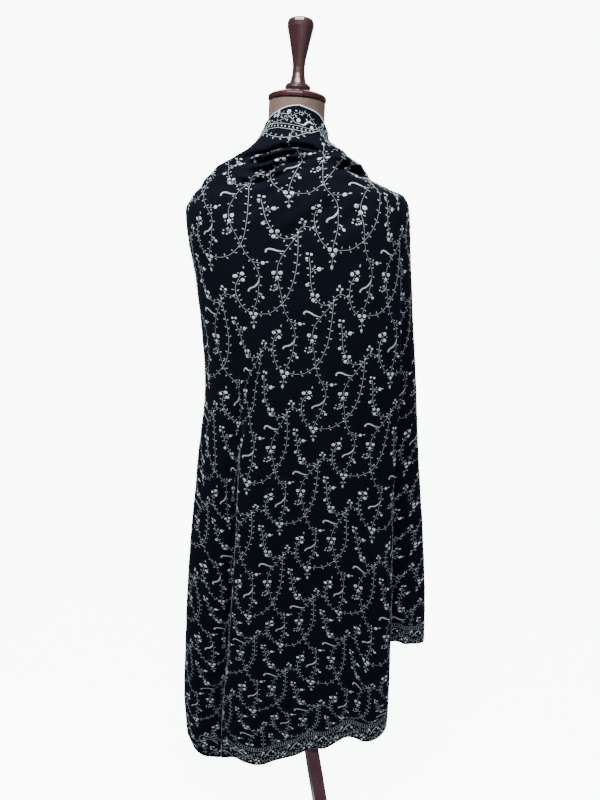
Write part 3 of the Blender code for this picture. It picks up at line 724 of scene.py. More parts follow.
# ---------------------------------------------------------------- embroidery chart
# The repeat of the vine pattern, in millimetres from the three berries at the foot of
# its scallop: x to the right, y up.
MM = 0.001
# Columns: leafed, width, points.
LINES = {
    "fall": (True, 0.70, ((30.7, 236), (22, 226), (12, 214), (3, 202), (-3, 190), (-5.5, 178),
                          (-5.5, 168), (-4, 156), (-2, 142), (0, 126.5), (3.5, 110), (10.5, 96),
                          (14.8, 87), (18.3, 77), (18.3, 66), (16, 55), (13.4, 41), (8, 24),
                          (3.5, 14), (0.5, 5))),
    "scallop": (True, 0.70, ((5, 1.6), (13, 2), (23, 2.8), (32, 5.6), (40, 11.2), (47, 17),
                             (53.4, 22.5), (61, 33), (68, 47), (73, 60), (77, 75), (79.5, 90),
                             (81.5, 105), (83, 120), (84.1, 132.1))),
    "arch": (True, 0.70, ((-48.5, 28.1), (-47.1, 33.7), (-42.9, 38.7), (-37.3, 40.8),
                          (-31.6, 39.4), (-24.6, 33.7), (-20.4, 26.7), (-17.6, 18.3),
                          (-13.4, 11.2), (-7.7, 5.6), (-4.5, 3))),
    "link": (True, 0.70, ((-48.5, 28.1), (-54, 26), (-62, 23.4), (-70, 25), (-76, 31), (-79, 35))),
    "rise": (True, 0.70, ((-81, 40), (-83.7, 46), (-85.3, 52), (-86.5, 59), (-87.2, 70.3),
                         (-87.4, 81.5), (-88.4, 90), (-89, 97))),
    "sprig": (True, 0.70, ((-20.4, 29.5), (-21.8, 38), (-21.8, 47.8), (-19.7, 57.6), (-14.5, 67))),
    "bud_stem": (False, 0.65, ((-38, 40.5), (-38.6, 47.5))),
    "tail": (False, 0.65, ((0, -7), (-0.7, -18))),
    "berry_stem": (False, 0.65, ((12, 94.5), (17.6, 92.8), (24.5, 91.9))),
    "low_stem": (False, 0.65, ((13.4, 41), (17, 36.6), (19, 34))),
    "floret_stem": (False, 0.65, ((-3.6, 158.5), (-8.5, 155), (-12.5, 153.3))),
    "side_stem": (False, 0.65, ((-87.2, 73), (-81, 77.6), (-76.5, 78.4))),
    "left_stem": (False, 0.65, ((-86, 53), (-90, 53.8))),
}
HORNS = (
    (((9.5, 212), (4.5, 212.4), (-1.5, 214.2), (-8, 217.6), (-13.5, 219), (-17.4, 217.4),
      (-18.2, 213.6)), (0.8, 1.6, 2.4, 2.8, 2.6, 2.6, 3.0)),
    (((18.2, 66), (16.6, 61), (13.2, 55.6), (7.3, 50.8), (0.6, 48.2), (-2.6, 45.6), (-3.4, 42.6)),
     (0.8, 1.7, 2.4, 2.7, 2.5, 2.5, 3.0)),
)
# Columns: x, y, radius.
BERRIES = (
    (-4.4, 2.6, 3.7), (4.5, 1.6, 3.7), (0.0, -5.3, 3.5),
    (-11.2, 178.4, 3.7), (0.0, 177.6, 3.7), (-5.8, 169.8, 3.5),
    (-83.5, 39.4, 3.5), (-75.3, 38.2, 3.5), (-82.0, 30.4, 3.5),
    (-19.0, 71.8, 3.8), (-9.1, 74.6, 3.8), (-9.7, 63.5, 3.6),
    (27.8, 91.9, 3.4), (20.3, 32.4, 2.8), (-74.0, 78.5, 3.8), (-92.0, 53.9, 3.0),
    (-39.6, 53.2, 2.5), (-43.1, 48.0, 2.3), (-35.2, 48.6, 2.3),
    (-91.3, 101.8, 2.4), (-85.4, 100.4, 2.4), (-92.4, 94.6, 2.3), (-47.8, 31.5, 2.1),
)
DOTS = (
    (-4.8, -3.0, 0.9), (5.2, -3.4, 0.9), (-14.6, 76.6, 1.1), (-13.2, 69.6, 1.0),
    (-5.2, 69.0, 1.1), (-14.4, 62.0, 1.0), (-18.6, 150.4, 1.5), (-16.8, 155.8, 1.4),
    (-13.6, 148.8, 1.5), (-11.4, 157.4, 1.3), (-9.8, 150.2, 1.3), (-0.2, 170.6, 1.0),
    (-11.8, 171.2, 1.0), (-77.0, 33.4, 1.0), (-86.4, 34.2, 1.0),
)
# Columns: x, y, turn, length, width.
LEAVES = (
    (-4.2, -14.8, 205, 5.0, 2.4), (3.7, -14.2, -25, 5.0, 2.4), (-1.0, -22.8, -92, 8.0, 4.6),
    (-5.2, 85.5, 84, 5.8, 2.3), (34.4, 93.2, 8, 5.4, 2.3), (19.4, 96.2, 60, 4.0, 2.0),
    (19.6, 89.0, -50, 4.0, 2.0), (18.8, 37.8, 60, 3.6, 1.9), (14.6, 34.0, -110, 3.6, 1.9),
    (-80.8, 82.2, 95, 4.2, 2.1), (-80.0, 73.6, -70, 4.2, 2.1), (-9.4, 158.6, 120, 3.2, 1.7),
    (-7.2, 151.8, -80, 3.2, 1.7), (-68.8, 79.4, 10, 3.4, 1.7),
)
LEAF_EVERY = 14.4
SPRIG_EVERY = 11.0         # leaves stand closer on the short sprigs
SPRIG_LONGEST = 80.0
LEAF_OFF = 3.5
LEAF_LENGTH = 4.3
LEAF_WIDTH = 1.75
LEAF_TURNS = {-1: 48.0, 1: 74.0}
LEAF_FIRST = 0.6           # the first pair, as a share of the space between pairs
LEAF_LAST = 3.0            # no leaves on this last length of a vine
LEAF_STAGGER = 0.7         # the right leaf of a pair stands this far on, the left one back
LEAF_AHEAD = 0.9
LEAF_UNEVEN = 1.0          # how far leaves are moved, pushed out and turned at random
LEAF_OFF_UNEVEN = 0.3
LEAF_TURN_UNEVEN = 9.0
LEAF_SIZES = (0.85, 1.10)
RIBBON_HEIGHT = 0.45       # height of a thin line's middle, and its gain with the width
RIBBON_RISE = 0.20
# A leaf's outline and its middle, as shares of its half length and half width.
LEAF_SHAPE = ((-1.0, 0.0), (-0.25, -1.0), (0.45, -0.72), (1.0, 0.0), (0.45, 0.72), (-0.25, 1.0),
              (0.0, 0.0))
BERRY_RINGS = ((1.0, 0.0), (0.62, 1.0))     # share of a berry's radius, height of the stitches
BERRY_TOP = 1.25
DOT_TOP = 0.9
# How pale each kind of stitch is, from 0 to 1, as the lowest and highest.
STEM_TONE = (0.05, 0.30)
LEAF_TONE = (0.40, 0.75)
HORN_TONE = (0.35, 0.60)
BERRY_TONE = (0.65, 0.95)
DOT_TONE = (0.45, 0.80)
BERRY_SIZE = 0.87
BERRY_MIDDLE = -0.30       # the middle of a berry is darker by this

# The border, in millimetres: x along the edge, y in from the edge.
BORDER_LONG = 60.0
BORDER_LINES = (
    (0.80, ((40.3, 31.5), (36.5, 26.6), (32.4, 22.2), (26, 16.3), (18.2, 11.6), (10, 8.4), (3, 8.6),
            (-5, 12.6), (-13, 18.2), (-21, 20.6))),
    (0.75, ((18.2, 11.6), (19.0, 5.6))),
    (0.75, ((47.0, 32.5), (52.0, 27.0), (56.5, 31.6), (60.5, 27.4))),
    (0.70, ((26, 16.3), (22.6, 19.6))),
)
BORDER_HORN = (((-1.0, 18.0), (3.2, 21.4), (6.8, 25.6), (10.4, 29.4), (14.6, 31.4), (17.8, 29.2)),
               (0.9, 1.8, 2.2, 2.3, 2.2, 1.4))
BORDER_BERRIES = (
    (19.6, 25.6, 2.5), (-2.2, 31.0, 2.2), (-17.2, 14.4, 2.3), (-11.4, 11.2, 2.5), (-15.6, 5.4, 2.4),
    (-28.0, 8.8, 2.4), (9.6, 20.6, 1.4),
)
BORDER_DOTS = (
    (-12.9, 17.7, 1.1), (-20.6, 9.4, 1.0), (-5.8, 23.4, 1.3), (26.0, 28.8, 1.1), (26.8, 6.4, 1.2),
    (14.6, 17.4, 1.0), (-27.4, 15.8, 1.1), (40.8, 12.0, 1.2), (1.6, 4.0, 1.0),
)
BORDER_LEAVES = (
    (-22.6, 14.4, 70, 4.6, 1.8), (-25.2, 18.8, 100, 4.2, 1.8), (-8.2, 6.6, 60, 4.0, 1.7),
    (19.6, 3.4, 250, 3.8, 1.8), (14.6, 4.6, 200, 3.8, 1.7), (24.4, 21.4, 140, 3.8, 1.7),
    (-4.6, 27.0, 80, 4.2, 1.7), (0.6, 27.4, 110, 4.0, 1.7), (56.2, 25.8, 80, 3.6, 1.6),
    (44.4, 27.6, 60, 3.8, 1.7),
)
BORDER_LEAVES_EVERY = 7.6
BORDER_LEAF_SIZE = 0.80
LADDER_LOW = 35.0
LADDER_HIGH = 42.8
LADDER_WIDE = 0.70
RUNG_EVERY = 5.0
RUNG = (5.6, 1.2)

# The repeat of the neck's border, in millimetres: x from the middle, y up from the neck
# edge. Each line has a width, the space between its leaves (0 for none) and its points.
NECK_LONG = 110.0
NECK_BRIGHT = (0.35, 0.60)
NECK_LINES = (
    (0.75, 8.2, ((-77, -28), (-70, -24), (-63, -20.5), (-55, -18.8), (-46.5, -18.5), (-35.2, -19.3),
                 (-22.4, -18.4), (-14.4, -16.7), (-8.8, -14.6), (-2.9, -12.4), (4, -9.7), (11.2, -9.3),
                 (17.8, -12.5), (22.4, -15.7), (26.7, -20.4), (29.7, -24.2), (33, -28))),
    (0.75, 9.0, ((-46.0, -5.6), (-42.6, -5.9), (-36.5, -7.2), (-29.5, -10.1), (-23.0, -12.2))),
    (0.85, 0.0, ((-22.9, -11.8), (-18.5, -17.2), (-12.0, -23.4), (-6.8, -28.7), (-1.8, -29.6),
                 (3.7, -29.6))),
    (0.85, 0.0, ((-76, -24), (-70.6, -19.4), (-67.2, -16.8), (-60.3, -16.7), (-52.2, -19.0),
                 (-43.2, -21.7), (-28.1, -26.8), (-17.6, -30.1), (-8.6, -32.5), (5.4, -33.2),
                 (18.8, -32.5), (26, -31), (34, -25))),
    (0.85, 0.0, ((-77, -30), (-69.6, -27.3), (-64.0, -26.3), (-57.7, -26.5), (-46.7, -28.8),
                 (-34.9, -32.6), (-25.4, -36.1), (-13.4, -39.2), (-3.6, -41.2), (4.3, -41.1),
                 (12.3, -40.4), (20.1, -39.2), (27, -35), (33, -30))),
    (0.85, 13.5, ((-74, -27), (-69, -29.5), (-55.8, -39.1), (-44.5, -48.1), (-35.4, -52.3),
                  (-26.5, -54.2), (-19.6, -54.6), (-10.8, -53.9), (-0.6, -49.8), (7.0, -45.2),
                  (12.2, -41.9), (20, -39.5))),
    (0.85, 8.0, ((-9.5, -38.2), (-12.6, -43.1), (-16.3, -49.9), (-18.6, -55.0), (-20.1, -61.0),
                 (-20.8, -70.0))),
)
NECK_HORN = (((3.7, -29.6), (7.2, -29.5), (10.1, -26.6), (14.8, -22.2), (18.8, -20.9), (22.7, -23.2)),
             (1.6, 2.4, 2.9, 2.9, 2.6, 1.4))
NECK_BERRIES = (
    (-19.5, -9.2, 3.7), (-2.3, -24.3, 3.5), (-39.3, -3.8, 2.7), (-47.8, -6.8, 2.6),
    (-40.9, -9.6, 2.6), (21.9, -29.9, 3.3), (-62.0, -10.0, 2.8),
)
NECK_LEAVES = (
    (-7.1, -9.0, 145, 4.4, 2.4), (-26.5, -15.2, 40, 4.2, 2.2), (-6.4, -18.4, 80, 4.2, 2.3),
    (3.3, -13.8, 90, 3.8, 2.2), (11.8, -19.4, 130, 4.4, 2.2), (-14.5, -26.3, 20, 4.2, 2.3),
    (-22.1, -22.6, 60, 4.2, 2.3), (-11.3, -20.8, 70, 4.0, 2.0), (-53, -13.0, 120, 4.0, 2.1),
    (-66.5, -12.2, 60, 4.0, 2.0), (-33.5, -14.6, 100, 3.8, 2.0),
)
NECK_LADDER = ((-66.5, -21.8), (-60.0, -21.4), (-49.8, -24.0), (-39.0, -27.4), (-27.0, -31.6),
               (-15.5, -34.9), (-6.1, -36.9), (4.9, -37.2), (15.6, -36.4), (25, -34.5))
BEAD_EVERY = 7.2
BEAD = 1.35
NECK_LEAF_SIZE = 0.86
# Lone stitches, in millimetres on the cloth: x from the middle, y up from the neck edge. Like
# the neck's border, they were read in the photo and laid out on the cloth.
LONE_WIDTH = 0.75
LONE_LINES = (
    ((40.4, -60.5), (41.0, -75.0), (41.4, -92.0)),
    ((-108.5, -1323.5), (-118.0, -1314.5), (-129.2, -1306.2)),
    ((-205.6, -1328.0), (-211.5, -1317.0), (-221.0, -1307.2), (-232.8, -1301.1), (-245.1, -1297.0),
     (-251.5, -1303.9), (-247.1, -1311.4), (-238.0, -1311.5), (-229.0, -1309.5), (-219.0, -1313.5),
     (-208.0, -1325.0)),
    ((-70.8, -1311.5), (-81.9, -1305.8), (-109.0, -1289.9), (-131.5, -1272.4)),
    ((-74.3, -1316.5), (-101.0, -1301.5), (-123.8, -1287.0), (-136.0, -1279.0)),
    ((-212.3, -1287.4), (-223.7, -1289.3)),
    ((-214.5, -1294.0), (-224.0, -1296.0)),
)
LONE_BERRIES = (
    (40.4, -57.9, 3.3), (-236.0, -1317.9, 2.6), (-231.6, -1323.5, 2.4), (-239.8, -1325.6, 2.4),
)
LONE_DOTS = (
    (-84.0, -1314.0, 1.2), (-92.0, -1313.5, 1.1), (-97.5, -1306.5, 1.3), (-104.0, -1310.0, 1.1),
    (-110.0, -1302.0, 1.3), (-116.5, -1306.0, 1.1), (-119.0, -1296.0, 1.2), (-126.0, -1299.0, 1.2),
    (-130.0, -1291.0, 1.1), (-102.5, -1318.5, 1.2), (-213.5, -1302.0, 1.2),
)
LONE_LEAVES = (
    (35.5, -74.0, 160, 4.6, 2.2), (46.5, -74.0, 20, 4.6, 2.2), (48.8, -42.5, 62, 7.4, 2.8),
    (50.5, -56.0, -42, 6.0, 2.4), (36.8, -47.0, 118, 3.6, 2.0), (-209.0, -1341.0, 48, 9.0, 2.4),
    (-222.0, -1349.5, 20, 3.6, 1.8), (-204.0, -1352.0, 80, 3.6, 1.8), (-90.0, -1308.0, 40, 3.4, 1.6),
    (-113.5, -1312.5, 130, 3.4, 1.6), (-122.5, -1291.5, 60, 3.2, 1.5),
)

MOST_OWNERS = 1000         # more than the leaves, berries and lines of one chart
HALVINGS = 18              # steps of the search for a place on the cloth
ROUNDS = 6                 # turns of that search across and down it
THREAD_LIFT = 0.00030      # the lowest edge of the thread above the cloth
THREAD_CROWN = 0.00060     # how far its middle stands above that
FIELD_FROM_EDGE = 0.0440   # the border takes this much of the cloth
FIELD_FROM_END = 0.0120


class Chart:
    """Points (x, y, height), faces and thread directions of raised embroidery."""

    def __init__(self):
        self.points = []
        self.faces = []
        self.thread = []
        self.owner = []
        self.owners = 0

    def put(self, points, heights, faces, thread, tones, single=False):
        """Add one motif. A single one that is cut at a border loses faces, others go whole."""
        first = len(self.points)
        tone = float(RNG.uniform(*tones))
        for (x, y), height, (along, across) in zip(points, heights, thread):
            self.points.append((x, y, height))
            self.thread.append((along, across, tone))
        for face in faces:
            self.faces.append(tuple(first + corner for corner in face))
            self.owner.append(-1 if single else self.owners)
        self.owners += 1

    def ribbon(self, line, widths, step=4.0, tones=STEM_TONE):
        """A line of stitches along a smooth path, higher along its middle."""
        path, widths = smooth_path(line, widths, step)
        run = np.gradient(path, axis=0)
        run = run / np.linalg.norm(run, axis=1)[:, None]
        side = np.stack([-run[:, 1], run[:, 0]], axis=1)
        gone = lengths_along(path)
        points = []
        heights = []
        thread = []
        for spot, out, width, far in zip(path, side, widths, gone):
            points += [spot + out * width / 2, spot, spot - out * width / 2]
            heights += [0.0, min(1.0, RIBBON_HEIGHT + width * RIBBON_RISE), 0.0]
            thread += [(far, width / 2), (far, 0.0), (far, -width / 2)]
        faces = []
        for a in range(0, 3 * (len(path) - 1), 3):
            faces += [(a + 4, a + 1, a), (a + 3, a + 4, a), (a + 5, a + 2, a + 1),
                      (a + 4, a + 5, a + 1)]
        self.put(points, heights, faces, thread, tones, True)
        return path, run, side, gone

    def leaf(self, x, y, turn, length, width):
        """A pointed leaf, highest in its middle."""
        ax, ay = math.cos(math.radians(turn)), math.sin(math.radians(turn))
        shape = [(u * length / 2, v * width / 2) for u, v in LEAF_SHAPE]
        points = [(x + u * ax - v * ay, y + u * ay + v * ax) for u, v in shape]
        faces = [(6, k, (k + 1) % 6) for k in range(6)]
        self.put(points, [0.0] * 6 + [1.0], faces, shape, LEAF_TONE)

    def berry(self, x, y, radius, sides=10):
        """A round berry, darker in its middle."""
        points = []
        heights = []
        thread = []
        for part, height in BERRY_RINGS:
            for k in range(sides):
                angle = 2 * math.pi * (k + 0.5 * (part < 1)) / sides
                u, v = radius * part * math.cos(angle), radius * part * math.sin(angle)
                points.append((x + u, y + v))
                heights.append(height)
                thread.append((u, v))
        points.append((x, y))
        heights.append(BERRY_TOP)
        thread.append((0.0, 0.0))
        faces = []
        for k in range(sides):
            after = (k + 1) % sides
            faces += [(k, after, sides + k), (after, sides + after, sides + k),
                      (sides + k, sides + after, 2 * sides)]
        self.put(points, heights, faces, thread, BERRY_TONE)
        u, v, tone = self.thread[-1]
        self.thread[-1] = (u, v, tone + BERRY_MIDDLE)

    def dot(self, x, y, radius, tones=DOT_TONE):
        """A bead of one stitch, with six sides."""
        points = [(x + radius * math.cos(math.pi * k / 3), y + radius * math.sin(math.pi * k / 3))
                  for k in range(6)] + [(x, y)]
        thread = [(px - x, py - y) for px, py in points]
        faces = [(6, k, (k + 1) % 6) for k in range(6)]
        self.put(points, [0.0] * 6 + [DOT_TOP], faces, thread, tones)

    def leaves_along(self, path, side, run, gone, every=LEAF_EVERY, size=1.0):
        """Pairs of small leaves on both sides of a vine, a little uneven."""
        far = every * LEAF_FIRST
        while far < gone[-1] - LEAF_LAST:
            for way in (-1, 1):
                spot = far + RNG.uniform(-LEAF_UNEVEN, LEAF_UNEVEN) + way * LEAF_STAGGER
                k = int(np.clip(np.searchsorted(gone, spot), 1, len(gone) - 1))
                t = (spot - gone[k - 1]) / (gone[k] - gone[k - 1])
                x, y = path[k - 1] + (path[k] - path[k - 1]) * t
                off = (LEAF_OFF + RNG.uniform(-LEAF_OFF_UNEVEN, LEAF_OFF_UNEVEN)) * size
                ahead = LEAF_AHEAD * size
                x += side[k][0] * way * off + run[k][0] * ahead
                y += side[k][1] * way * off + run[k][1] * ahead
                turn = math.degrees(math.atan2(run[k][1], run[k][0]))
                turn += way * (LEAF_TURNS[way] + RNG.uniform(-LEAF_TURN_UNEVEN, LEAF_TURN_UNEVEN))
                self.leaf(x, y, turn, LEAF_LENGTH * size * RNG.uniform(*LEAF_SIZES),
                          LEAF_WIDTH * size * RNG.uniform(*LEAF_SIZES))
            far += every

    def arrays(self):
        """The chart's points, faces, threads and owners as arrays."""
        return (np.array(self.points), np.array(self.faces), np.array(self.thread),
                np.array(self.owner))


def smooth_path(line, widths, step):
    """A smooth path through the points of a line, in even steps."""
    line = np.array(line, dtype=float)
    widths = np.broadcast_to(np.asarray(widths, dtype=float), (len(line),))
    spots = lengths_along(line)
    count = max(2, int(round(spots[-1] / step)) + 1)
    at = np.linspace(0.0, spots[-1], count)
    if len(line) == 2:
        path = np.stack([np.interp(at, spots, line[:, k]) for k in (0, 1)], axis=1)
        return path, np.interp(at, spots, widths)
    slopes = np.gradient(line, spots, axis=0)
    k = np.clip(np.searchsorted(spots, at) - 1, 0, len(line) - 2)
    size = (spots[k + 1] - spots[k])[:, None]
    t = ((at - spots[k])[:, None]) / size
    path = (line[k] * (1 + 2 * t) * (1 - t) ** 2 + slopes[k] * size * t * (1 - t) ** 2
            + line[k + 1] * (3 - 2 * t) * t ** 2 - slopes[k + 1] * size * (1 - t) * t ** 2)
    return path, np.interp(at, spots, widths)


def field_chart():
    """The repeat of the field: its vines with their leaves, horns, berries and beads."""
    chart = Chart()
    for leafed, width, line in LINES.values():
        path, run, side, gone = chart.ribbon(line, width)
        if leafed:
            short = gone[-1] < SPRIG_LONGEST
            chart.leaves_along(path, side, run, gone, SPRIG_EVERY if short else LEAF_EVERY)
    for line, widths in HORNS:
        chart.ribbon(line, widths, 2.6, HORN_TONE)
    for x, y, radius in BERRIES:
        chart.berry(x, y, radius * BERRY_SIZE)
    for x, y, radius in DOTS:
        chart.dot(x, y, radius)
    for leaf in LEAVES:
        chart.leaf(*leaf)
    return chart.arrays()


def border_chart():
    """The repeat of the hem's border, with the ladder above it."""
    chart = Chart()
    for width, line in BORDER_LINES:
        path, run, side, gone = chart.ribbon(line, width, 3.0)
        chart.leaves_along(path, side, run, gone, BORDER_LEAVES_EVERY, BORDER_LEAF_SIZE)
    chart.ribbon(*BORDER_HORN, 2.6, HORN_TONE)
    for height in (LADDER_LOW, LADDER_HIGH):
        chart.ribbon(((0.0, height), (BORDER_LONG, height)), LADDER_WIDE, 5.0)
    for k in range(int(BORDER_LONG / RUNG_EVERY)):
        chart.leaf((k + 0.5) * RUNG_EVERY, (LADDER_LOW + LADDER_HIGH) / 2, 90.0, *RUNG)
    for x, y, radius in BORDER_BERRIES:
        chart.berry(x, y, radius, 8)
    for x, y, radius in BORDER_DOTS:
        chart.dot(x, y, radius)
    for leaf in BORDER_LEAVES:
        chart.leaf(*leaf)
    return chart.arrays()


def neck_chart():
    """The neck's border: a leafed vine, a twig with its horn, and a ladder of beads."""
    chart = Chart()
    for width, every, line in NECK_LINES:
        path, run, side, gone = chart.ribbon(line, width, 3.0, NECK_BRIGHT)
        if every:
            chart.leaves_along(path, side, run, gone, every, NECK_LEAF_SIZE * every / 10.0)
    chart.ribbon(*NECK_HORN, 2.6, BERRY_TONE)
    for x, y in smooth_path(NECK_LADDER, 1.0, BEAD_EVERY)[0]:
        chart.dot(x, y, BEAD, BERRY_TONE)
    for x, y, radius in NECK_BERRIES:
        chart.berry(x, y, radius)
    for leaf in NECK_LEAVES:
        chart.leaf(*leaf)
    return chart.arrays()


def lone_chart():
    """The berry beside the neck's border, and the corner where the hem turns up."""
    chart = Chart()
    for line in LONE_LINES:
        chart.ribbon(line, LONE_WIDTH, 3.0, NECK_BRIGHT)
    for berry in LONE_BERRIES:
        chart.berry(*berry)
    for dot in LONE_DOTS:
        chart.dot(*dot)
    for leaf in LONE_LEAVES:
        chart.leaf(*leaf)
    return chart.arrays()


# ---------------------------------------------------------------- embroidery on the cloth
def spot_in(table, rows, columns):
    """A table's values at rows and columns that lie between its own."""
    r = np.clip(rows.astype(int), 0, table.shape[0] - 2)
    c = np.clip(columns.astype(int), 0, table.shape[1] - 2)
    fr = rows - r
    fc = columns - c
    if table.ndim == 3:
        fr, fc = fr[:, None], fc[:, None]
    return ((table[r, c] * (1 - fc) + table[r, c + 1] * fc) * (1 - fr)
            + (table[r + 1, c] * (1 - fc) + table[r + 1, c + 1] * fc) * fr)


def solve_along(table, rows, wanted):
    """Columns at which a table that grows along its rows has the wanted values."""
    low = np.zeros(len(rows))
    high = np.full(len(rows), table.shape[1] - 1.0)
    for _ in range(HALVINGS):
        middle = (low + high) / 2
        more = spot_in(table, rows, middle) < wanted
        low = np.where(more, middle, low)
        high = np.where(more, high, middle)
    return (low + high) / 2


def place_on(across, down, u, v):
    """Row and column of the cloth at distances u across and v down it."""
    columns = solve_along(across, np.full(len(u), across.shape[0] / 2.0), u)
    for _ in range(ROUNDS):
        rows = solve_along(down.T, columns, v)
        columns = solve_along(across, rows, u)
    return rows, columns


def repeated(chart, count):
    """Many copies of a chart: points, the copy of each point, faces, threads and owners."""
    points, faces, thread, owner = chart
    copies = np.arange(count)
    all_faces = (faces[None] + copies[:, None, None] * len(points)).reshape(-1, 3)
    owners = np.where(owner < 0, -1, owner + copies[:, None] * MOST_OWNERS).ravel()
    threads = np.tile(thread * (MM, MM, 1.0), (count, 1))
    return np.tile(points, (count, 1)), np.repeat(copies, len(points)), all_faces, threads, owners


def kept_faces(faces, owners, inside):
    """Faces inside the field; a leaf or berry stays whole or goes whole."""
    keep = inside[faces].all(axis=1)
    motif = owners >= 0
    spots, back = np.unique(owners, return_inverse=True)
    lost = np.zeros(len(spots), bool)
    np.logical_or.at(lost, back, ~keep)
    return np.where(motif, ~lost[back], keep)


# ---------------------------------------------------------------- pieces
# Where the pattern lies on the cloth, in metres from the middle of the neck edge: the
# first scallop's foot, the step along a row and the step to the next row.
PATTERN_START = (-0.0240, 0.1720)
PATTERN_ALONG = (0.1880, 0.0040)
PATTERN_DOWN = (0.0555, 0.1065)
PATTERN_BEND = (0.0008, -0.0012)
PATTERN_ROWS = range(-3, 18)
PATTERN_STEPS = range(-16, 17)
CHART_REACH = 0.25         # a copy's stitches stay within this distance of its foot
# The left lap hides some of the cloth's width: down the cloth, width hidden.
HIDDEN_COLUMNS = ("down", "width")
HIDDEN = (
    (0.20, 0.000), (0.285, -0.015), (0.505, 0.030), (0.584, 0.040), (0.70, 0.070),
    (0.78, 0.066), (0.96, 0.093), (1.11, 0.110), (1.37, 0.112),
)
HIDDEN_FROM = 0.105        # it is lost from this far left of the middle on
HIDDEN_SPREAD = 1.7        # over this many times its own width
HIDDEN_SOFT = 0.02         # and this much more
# Known places of the pattern: marks in the chart, in millimetres as in LINES.
MARKS = {
    "foot": (0, 0), "tail_bud": (-1, -22.8), "low_berry": (20.3, 32.4), "bud_berry": (27.8, 91.9),
    "low_horn": (-3.4, 42.6), "high_horn": (-18.2, 213.6), "horn_top": (-17.4, 217.4),
    "cluster": (-13, 70), "cluster_side": (-16, 67), "floret": (-14, 152),
    "upper_triple": (-5.8, 175), "upper_berry": (-5.8, 169.8), "small_triple": (-39.3, 50),
    "side_triple": (-80, 36), "side_bud": (-74, 78.5), "left_bud": (-92, 53.9),
    "sprig_top": (-89.7, 99), "arch_top": (-34, 40.4), "arch_end": (-48.5, 28.1), "arc": (29, 4.4),
    "joint": (53.4, 22.5), "arm_1": (59, 31), "arm_2": (75.5, 69), "arm_3": (79.5, 90),
    "arm_4": (80.8, 99), "arm_5": (84.1, 132.1), "fall_1": (16, 55), "fall_2": (18.3, 77),
    "fall_3": (10.5, 96), "fall_4": (3.5, 110), "fall_5": (0, 126.5),
}
